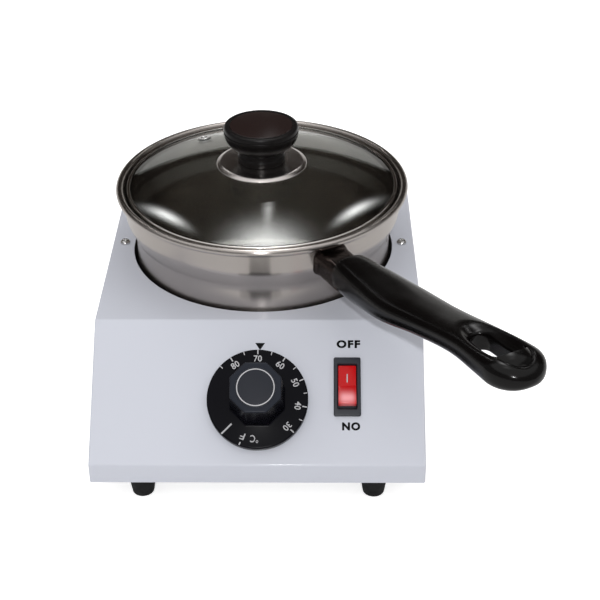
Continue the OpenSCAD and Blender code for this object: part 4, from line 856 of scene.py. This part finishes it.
def typed(text, width, height, bold=0.0):
    """Points (x, y, w) and faces of a word that fills a box, centred on the origin, with its
    thickness from 0 to INK. The bolder the letters, the further apart they stand."""
    curve = bpy.data.curves.new(text, "FONT")
    curve.body, curve.extrude, curve.resolution_u = text, 0.5, 5
    curve.offset, curve.space_character = bold, 1 + LETTERS_APART * bold
    shape = bpy.data.objects.new(text, curve)
    bpy.context.scene.collection.objects.link(shape)
    bpy.context.view_layer.update()
    shown = shape.evaluated_get(bpy.context.evaluated_depsgraph_get())
    mesh = bpy.data.meshes.new_from_object(shown)
    points = np.array([v.co for v in mesh.vertices])
    faces = [list(p.vertices) for p in mesh.polygons]
    bpy.data.objects.remove(shape)
    low, high = points.min(0), points.max(0)
    points = (points - (low + high) / 2) / (high - low) * [width, height, INK] + [0, 0, INK / 2]
    return points, faces


def block(outline):
    """Points and faces of a flat outline (x, y) with the thickness of ink."""
    n = len(outline)
    points = np.concatenate([np.column_stack([outline, np.full(n, w)]) for w in (0.0, INK)])
    return points, skin_faces(2, n, True)


def bar_mark(low, high, width):
    """A printed stroke from low to high."""
    return block([[-width / 2, low], [width / 2, low], [width / 2, high], [-width / 2, high]])


def circle_mark(radius, width, sides=128):
    """A printed ring, as a turned strip."""
    rings = turned([[radius, 0], [radius, INK], [radius - width, INK], [radius - width, 0],
                    [radius, 0]], sides)
    return rings.reshape(-1, 3), skin_faces(5, sides, False)


def gathered(name, marks, place):
    """One piece of several marks: each is points, faces, an angle clockwise from the top in
    degrees, and a shift in the panel's plane, and place takes them into the object's frame."""
    points, faces, start = [], [], 0
    for (p, f), angle, shift in marks:
        a = -np.radians(angle)
        turn = np.array([[np.cos(a), np.sin(a), 0], [-np.sin(a), np.cos(a), 0], [0, 0, 1]])
        points.append((p + [*shift, 0]) @ turn)
        faces += [[i + start for i in face] for face in f]
        start += len(p)
    return piece_from(name, place(np.concatenate(points)) * MM, faces)


STEP = 16.65
SHORT_MARKS = (-2.92, -1, 1, 3, 5, 7)
SIGN_C, SIGN_F, LONG_MARK = 183.6, 200.5, 224.6
NUMBER_R, MARK_OUT_R = 21.1, 25.7
MIDDLE = (0, 0)
steps_of = {80: -2, 70: 0, 60: 2, 50: 4, 40: 6, 30: 8}
scale = [(typed(str(number), 4.2, 3.3, NUMBER_BOLD), step * STEP, (0, NUMBER_R))
         for number, step in steps_of.items()]
scale += [(bar_mark(23.4, MARK_OUT_R, 0.6), step * STEP, MIDDLE) for step in steps_of.values()]
scale += [(bar_mark(23.9, MARK_OUT_R, 0.42), step * STEP, MIDDLE) for step in SHORT_MARKS]
scale += [(typed("°C", 4.2, 3.9, SIGN_BOLD), SIGN_C, (0, 21.0)),
          (typed("F", 2.3, 3.4, SIGN_BOLD), SIGN_F, (0, 20.9)),
          (bar_mark(24.0, 25.6, 0.6), SIGN_F, MIDDLE),
          (bar_mark(18.4, MARK_OUT_R, 0.8), LONG_MARK, MIDDLE)]
dial_marks = gathered("dial_marks", scale, lambda points: at_dial(points, SKIRT_H))
badge_ring = gathered("badge_ring", [(circle_mark(9.5, 0.5), 0, MIDDLE)],
                      lambda points: at_dial(points, BADGE_TOP))
pointer = [[-2.6, 0], [0, -3.8], [2.6, 0]]
words = [(block(pointer), 0, (0.9, -12.6)),
         (typed("OFF", 12.3, 4.3, WORD_BOLD), 0, (46.83, -13.18)),
         (typed("NO", 9.3, 4.3, WORD_BOLD), 0, (48.0, -56.71))]
panel_marks = gathered("panel_marks", words, on_panel)
line_mark = gathered("rocker_mark", [(bar_mark(-2.2, 2.2, 0.6), 0, (0, 4.5))],
                     lambda points: at_switch(points, WING_LIFT))
print("marks:", len(scale), "on the dial,", len(words), "on the panel")

# %% [markdown]
# ## Small fittings
#
# The two screws in the deck and the cable gland were modelled exactly, but with knife edges, and a
# knife edge never catches the light. A copy of each is merged and given a small bevel.

# %% Softened fittings
WELD, FLAT = 2e-6, np.radians(0.5)


def softened(node, width, angle=30):
    """A copy of a measured node with its edges bevelled by width millimetres."""
    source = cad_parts[node]
    made = bpy.data.objects.new(node + "_soft", source.data.copy())
    bpy.context.scene.collection.objects.link(made)
    made.data.transform(source.matrix_world)
    tidy = bmesh.new()
    tidy.from_mesh(made.data)
    bmesh.ops.remove_doubles(tidy, verts=tidy.verts, dist=WELD)
    bmesh.ops.dissolve_limit(tidy, angle_limit=FLAT, verts=tidy.verts, edges=tidy.edges)
    tidy.to_mesh(made.data)
    tidy.free()
    soft = made.modifiers.new("soft", "BEVEL")
    soft.width, soft.segments, soft.limit_method = width * MM, 2, "ANGLE"
    soft.angle_limit = np.radians(angle)
    return baked(made, 35)


fittings = {node: softened(node, width) for node, width in
            {"well_screws": 0.25, "gland_body": 0.4, "gland_cap": 0.5}.items()}
print("softened:", ", ".join(fittings))

# %% [markdown]
# ## The finishes
#
# White stoving enamel, polished and brushed steel, moulded thermoset plastic, glass with a green
# cast, rubber and zinc. None is one flat value on the real object: polish wanders, spun steel has
# fine rings, and plastic has a faint bloom, so most finishes vary a little in roughness or relief.
# The pan's polish is drawn out round its axis, which smears a highlight across the turning lines.
# Two finishes change colour with the panel's own coordinates: the dial's boss is lighter and
# bluer on its top, and the rocker has a painted highlight, a pale glow on its lower wing.

# %% Finishes
NAVY = (0.022, 0.025, 0.034)
NAVY_FROM, NAVY_TO = BOSS_TOP - 0.6, BOSS_TOP - 0.2
# The rocker's painted highlight: half-width, half-length and distance below the switch's middle, in
# millimetres.
PAINTED_HIGHLIGHT_W, PAINTED_HIGHLIGHT_L, PAINTED_HIGHLIGHT_DOWN = 3.6, 2.6, 6.4


def plain(name, colour, rough, metal=0.0, spread=0.12, size=60.0, depth=0.0, **more):
    """A finish whose roughness wanders by the given spread, with an optional fine relief."""
    made = Finish(name, Base_Color=colour, Roughness=rough, Metallic=metal, **more)
    noise = made.noise(made.place(), size)
    links = {"Roughness": noise.ramp(0.3, 0.7, rough * (1 - spread), rough * (1 + spread))}
    if depth:
        links["Normal"] = made.bump(made.noise(made.place(), size * 12, 2.0), depth)
    return made.feed(**links)


def brushed(name, colour, rough, scale, turn, depth, spread):
    """Steel with fine lines: noise that is stretched along them, in relief and in roughness."""
    made = Finish(name, Base_Color=colour, Roughness=rough, Metallic=1.0)
    lines = made.noise(made.place(scale=scale, turn=turn), 1.0, 4.0, 0.6)
    return made.feed(Roughness=lines.ramp(0.3, 0.7, rough * (1 - spread), rough * (1 + spread)),
                     Normal=made.bump(lines, depth))


def spun(name, colour, rough, pitch, depth):
    """Steel with the rings that spinning leaves: a wave in the distance from the axis."""
    made = Finish(name, Base_Color=colour, Roughness=rough, Metallic=1.0)
    x, y = made.part(made.place(), 0), made.part(made.place(), 1)
    radius = (x * x + y * y) ** 0.5
    wander = made.noise(made.place(), 30.0, 2.0)
    rings = (radius * (2 * np.pi / pitch) + wander * 4.0).sine()
    return made.feed(Roughness=wander.ramp(0.3, 0.7, rough * 0.8, rough * 1.3),
                     Normal=made.bump(rings, depth))


def dial_plastic():
    """Black plastic, lighter and bluer from just under the boss's top."""
    made = Finish("dial_plastic", Roughness=0.26, Specular_IOR_Level=0.08)
    top = made.panel_part(2).ramp(NAVY_FROM * MM, NAVY_TO * MM)
    return made.feed(Base_Color=made.mix(top, (0.003, 0.003, 0.005), NAVY))


def rocker_plastic():
    """Red plastic with a painted highlight, a pale glow on its lower wing: x and v are measured from
    the highlight's middle in its own half-sizes, and its strength is 0.5 to the power of x^4 + v^2."""
    made = Finish("rocker_red", Base_Color=(0.56, 0.006, 0.008), Roughness=0.16,
                  Specular_IOR_Level=0.25, Emission_Strength=1.0)
    x = (made.part(made.place(), 0) - SWITCH_X * MM) * (1 / (PAINTED_HIGHLIGHT_W * MM))
    v = (made.panel_part(1) + (SWITCH_DOWN + PAINTED_HIGHLIGHT_DOWN) * MM) * (1 / (PAINTED_HIGHLIGHT_L * MM))
    # The pale emission glow on the lower wing is a painted highlight.
    painted_highlight = (x ** 4 + v * v).halving()
    return made.feed(Emission_Color=made.mix(painted_highlight, (0.0, 0.0, 0.0), (0.42, 0.36, 0.38)))


def tempered_glass():
    """Clear glass with a faint green cast that drifts over the dome."""
    made = Finish("tempered_glass", Base_Color=(0.77, 0.80, 0.765), Roughness=0.0, IOR=1.5,
                  Transmission_Weight=1.0)
    cast = made.noise(made.place(), 12.0)
    return made.feed(Base_Color=made.mix(cast, (0.76, 0.795, 0.76), (0.78, 0.80, 0.775)))


paint = plain("white_enamel", (0.610, 0.630, 0.700), 0.36, size=25.0, depth=6e-6, Coat_Weight=0.2,
              Coat_Roughness=0.12, Specular_IOR_Level=0.3)
mirror = plain("polished_steel", (0.46, 0.425, 0.40), 0.24, metal=1.0, spread=0.1, size=8.0,
               Anisotropic=0.9, Anisotropic_Rotation=0.25)
rolled = plain("polished_band", (0.66, 0.63, 0.60), 0.12, metal=1.0, spread=0.4)
spun_steel = spun("spun_steel", (0.62, 0.58, 0.56), 0.2, 0.00035, 3e-6)
# Painted reflection: the ferrule's near-black colour stands in for the dark surroundings that its
# polished steel mirrors.
ferrule_steel_painted_dark = brushed("brushed_steel_painted_dark", (0.06, 0.048, 0.044), 0.2, (25, 700, 700),
                        turn=(0, 0, -HANDLE), depth=1e-6, spread=0.35)
well_metal = spun("well_aluminium", (0.38, 0.38, 0.385), 0.34, 0.0006, 4e-6)
zinc = plain("zinc_plate", (0.55, 0.56, 0.57), 0.38, metal=1.0, size=140.0, spread=0.3)
screw_steel = plain("bright_screws", (0.66, 0.655, 0.65), 0.2, metal=1.0)
rubber = plain("black_rubber", (0.006, 0.006, 0.007), 0.62, size=300.0, depth=1e-5,
               Specular_IOR_Level=0.25)
felt = plain("glass_felt", (0.62, 0.58, 0.48), 0.95, size=900.0, depth=1e-4)
heater = plain("heater_sheath", (0.16, 0.15, 0.14), 0.45, metal=1.0)
copper = plain("copper", (0.78, 0.42, 0.27), 0.28, metal=1.0)
brass = plain("brass", (0.74, 0.58, 0.28), 0.26, metal=1.0)
black_case = plain("black_case", (0.025, 0.025, 0.027), 0.45)
ceramic = plain("white_ceramic", (0.72, 0.70, 0.65), 0.55, size=200.0)
gland_black = plain("gland_nylon", (0.03, 0.03, 0.032), 0.42, size=120.0, depth=6e-6)
bezel_slate = plain("bezel_plastic", NAVY, 0.36, size=150.0, depth=3e-6,
                    Specular_IOR_Level=0.35)
grip_black = plain("grip_thermoset", (0.003, 0.0025, 0.0025), 0.2, size=35.0, spread=0.25,
                   Specular_IOR_Level=0.22)
knob_black = plain("knob_thermoset", (0.005, 0.004, 0.004), 0.3, size=35.0, Specular_IOR_Level=0.2)
cap_brown = plain("knob_disc", (0.022, 0.013, 0.012), 0.16, size=50.0, Specular_IOR_Level=0.4)
badge_navy = plain("badge_disc", (0.010, 0.012, 0.020), 0.32, Specular_IOR_Level=0.3)
ink_black = plain("ink_black", (0.004, 0.004, 0.005), 0.6, Specular_IOR_Level=0.1)
ink_grey = plain("ink_grey", (0.50, 0.50, 0.52), 0.5)
wires = {name: plain(name, colour, 0.4) for name, colour in
         {"wire_brown": (0.16, 0.06, 0.025), "wire_black": (0.02, 0.02, 0.02),
          "wire_glass": (0.7, 0.68, 0.62), "wire_blue": (0.02, 0.10, 0.42),
          "wire_green": (0.05, 0.32, 0.06)}.items()}
dial_black = dial_plastic()
rocker_red = rocker_plastic()
glass_clear = tempered_glass()
print("finishes:", len(bpy.data.materials))

# %% [markdown]
# ## Putting it together
#
# Each piece is given its finish, its body and the nodes that it stands for. The nodes
# that stay as they were measured, mostly inside the housing, get the same finishes.

# %% Dressing
dressed(housing, paint, "housing",
        ["housing_front", "housing_deck", "housing_back", "housing_sides"])
dressed(well, well_metal, "housing", ["heating_well"])
for name, foot in feet.items():
    dressed(foot, rubber, "housing", [name])
dressed(pan, mirror, "pot", ["pan"])
dressed(ferrule, ferrule_steel_painted_dark, "pot", ["handle_ferrule"])
dressed(grip, grip_black, "pot", ["handle_grip"])
dressed(glass, glass_clear, "lid", ["lid_glass"])
dressed(rim, rolled, "lid", ["lid_rim"])
dressed(plate, spun_steel, "lid", ["lid_plate"])
dressed(knob, knob_black, "lid", ["lid_knob"])
dressed(cap, cap_brown, "lid", ["lid_knob_cap"])
dressed(vent, screw_steel, "lid", ["lid_vent"])
dressed(dial, dial_black, "dial", ["control_knob"])
dressed(badge, badge_navy, "dial", ["knob_badge"])
dressed(bezel, bezel_slate, "housing", ["switch_body"])
dressed(rocker, rocker_red, "rocker", ["switch_rocker"])
dressed(fittings["well_screws"], screw_steel, "housing", ["well_screws"])
dressed(fittings["gland_body"], gland_black, "housing", ["gland_body"])
dressed(fittings["gland_cap"], gland_black, "housing", ["gland_cap"])
dressed(dial_marks, ink_grey, "dial")
dressed(badge_ring, ink_grey, "dial")
dressed(panel_marks, ink_black, "housing")
dressed(line_mark, ink_grey, "rocker")

kept = {
    zinc: "base_plate base_screws foot_screws foot_nuts well_nuts element_strap strap_nut bulb_clip "
          "thermostat_bracket cutout_nuts earth_stud",
    screw_steel: "thermostat_screws handle_screw lid_screw lid_washer thermostat_shaft",
    felt: "insulation_band",
    heater: "heating_element",
    copper: "sensor_bulb capillary_tube",
    black_case: "thermal_cutout",
    ceramic: "thermostat_body terminal_block",
    brass: "shaft_bush switch_terminals terminal_screws earth_nut",
    gland_black: "gland_nut",
    ferrule_steel_painted_dark: "handle_bracket",
    wires["wire_brown"]: "wire_live",
    wires["wire_black"]: "wire_switched wire_cutout",
    wires["wire_glass"]: "wire_heater",
    wires["wire_blue"]: "wire_neutral",
    wires["wire_green"]: "wire_earth",
}
for finish, names in kept.items():
    for name in names.split():
        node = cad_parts[name]
        node.data.materials.clear()
        node.data.materials.append(finish)
print("kept as measured:", sum(len(names.split()) for names in kept.values()))

# %% [markdown]
# ## Light
#
# The photograph looks as if it was taken in a light tent on a white sweep: a small lamp near the
# camera draws the handle's shadow on the panel, and the tent fills in the rest. Here one sun stands
# for the lamp, a second and very wide one for the tent's bright roof, and the world for its walls.
# The floor's own glow is only for the camera, so that the ground reads as paper white and still
# takes the object's shadow. The rest is seen by reflections and through the glass only. Five soft
# cards of light draw the streaks on the pan, the glass and the grip, and fade towards their edges as
# a lamp behind cloth does. A dark wall behind is the unlit end of the room, which keeps the black
# plastic black, and a pale band at its foot is the sweep.

# %% Light and ground
GROUND, GROUND_BACK, PAPER_GLOW = 4, 6, (0.62, 0.62, 0.62)
WALL_X, WALL_Y, WALL_TOP, DARK_FROM, PALE_TO = 5, 2.2, 5.0, 0.62, 0.6
KEY_RISE, KEY_POWER, KEY_SIZE = np.radians(35), 1.12, 2.0
ROOF_POWER, ROOF_SIZE = 1.3, 100.0
FILL, GLOSSY_FILL, BACKDROP = 0.34, 0.2, 1.05
BLACK, WHITE = (0.0, 0.0, 0.0), (1.0, 1.0, 1.0)


def facing(place, aim):
    """The matrix that stands at a place and looks along its own -Z at another, with X level."""
    back = np.array(place, float) - aim
    back /= np.linalg.norm(back)
    right = np.cross([0, 0, 1.0] if abs(back[2]) < 0.999 else [0, 1.0, 0], back)
    right /= np.linalg.norm(right)
    there = np.eye(4)
    there[:3, :3] = np.stack([right, np.cross(back, right), back], axis=1)
    there[:3, 3] = place
    return Matrix(there.tolist())


def sun(name, power, place, angle):
    """A sun that shines from a place towards the origin, and fills an angle in degrees."""
    data = bpy.data.lights.new(name, "SUN")
    data.energy, data.angle = power, np.radians(angle)
    made = bpy.data.objects.new(name, data)
    bpy.context.scene.collection.objects.link(made)
    made.matrix_world = facing(place, [0, 0, 0])


def lit(name, power, colour=WHITE):
    """A finish that only glows."""
    return Finish(name, Base_Color=BLACK, Roughness=1.0, Emission_Strength=power,
                  Emission_Color=colour, Specular_IOR_Level=0.0)


def card(name, corners, finish):
    """A flat card that only reflections and refractions see."""
    made = piece_from(name, np.array(corners, float), [[0, 1, 2, 3]])
    made.data.materials.append(finish)
    made.visible_camera = made.visible_diffuse = made.visible_shadow = False
    return made


def glow(name, place, aim, wide, tall, power):
    """A soft lamp: a card whose light halves at half its width and height from its middle, and
    keeps falling as 0.5 to the power of (2x / wide)^2 + (2y / tall)^2."""
    finish = lit(name, power)
    x = finish.part(finish.place(), 0) * (2 / wide)
    y = finish.part(finish.place(), 1) * (2 / tall)
    w, h = 1.4 * wide, 1.4 * tall
    made = card(name, [[-w, -h, 0], [w, -h, 0], [w, h, 0], [-w, h, 0]],
                finish.feed(Alpha=(x * x + y * y).halving()))
    made.matrix_world = facing(place, aim)


sun("key", KEY_POWER, [0.0, -2 * np.cos(KEY_RISE), 2 * np.sin(KEY_RISE)], KEY_SIZE)
sun("sky", ROOF_POWER, [0, 0, 2.0], ROOF_SIZE)
glow("overhead", [0.0, 0.34, 1.15], [0, -0.06, 0.1], 0.27, 0.28, 9.0)
glow("above", [0.0, -0.16, 1.3], [0, -0.02, 0.11], 0.30, 0.16, 3.0)
glow("seam", [0.0, 0.72, 1.03], [0, -0.03, 0.1], 0.04, 0.44, 3.5)
glow("back_left", [-0.576, 0.84, 1.06], [-0.05, -0.04, 0.1], 0.045, 0.30, 9.0)
glow("back_right", [0.49, 0.90, 1.06], [0.05, -0.04, 0.1], 0.045, 0.30, 9.0)

world = bpy.data.worlds.new("tent")
bpy.context.scene.world = world
world.use_nodes = True
nodes, links = world.node_tree.nodes, world.node_tree.links
fill = nodes["Background"]
fill.inputs["Color"].default_value = (1.0, 0.985, 0.975, 1.0)
fill.inputs["Strength"].default_value = FILL
below = fill.outputs[0]
path = nodes.new("ShaderNodeLightPath")
for ray, strength in (("Is Glossy Ray", GLOSSY_FILL), ("Is Camera Ray", BACKDROP)):
    other = nodes.new("ShaderNodeBackground")
    other.inputs["Color"].default_value = (1, 1, 1, 1)
    other.inputs["Strength"].default_value = strength
    choice = nodes.new("ShaderNodeMixShader")
    links.new(path.outputs[ray], choice.inputs[0])
    links.new(below, choice.inputs[1])
    links.new(other.outputs[0], choice.inputs[2])
    below = choice.outputs[0]
links.new(below, nodes["World Output"].inputs["Surface"])

for name, low, high, colour in (("dark_wall", DARK_FROM, WALL_TOP, (0.025, 0.020, 0.017)),
                                ("pale_wall", 0.0, PALE_TO, (0.55, 0.54, 0.52))):
    corners = [[-WALL_X, WALL_Y, low], [WALL_X, WALL_Y, low],
               [WALL_X, WALL_Y, high], [-WALL_X, WALL_Y, high]]
    card(name, corners, lit(name, 1.0, colour).material)

floor_z = -FOOT_H * MM
ground = piece_from("ground", [[-GROUND, -GROUND, floor_z], [GROUND, -GROUND, floor_z],
                               [GROUND, GROUND_BACK, floor_z], [-GROUND, GROUND_BACK, floor_z]],
                    [[0, 1, 2, 3]])
paper = Finish("paper", Base_Color=(0.86, 0.86, 0.86), Roughness=0.9, Emission_Strength=1.0)
seen = paper.node("ShaderNodeLightPath", out="Is Camera Ray")
ground.data.materials.append(paper.feed(Emission_Color=paper.mix(seen, BLACK, PAPER_GLOW)))
bpy.context.scene.view_settings.view_transform = "Standard"
print("light: key at", round(np.degrees(KEY_RISE), 1), "degrees")
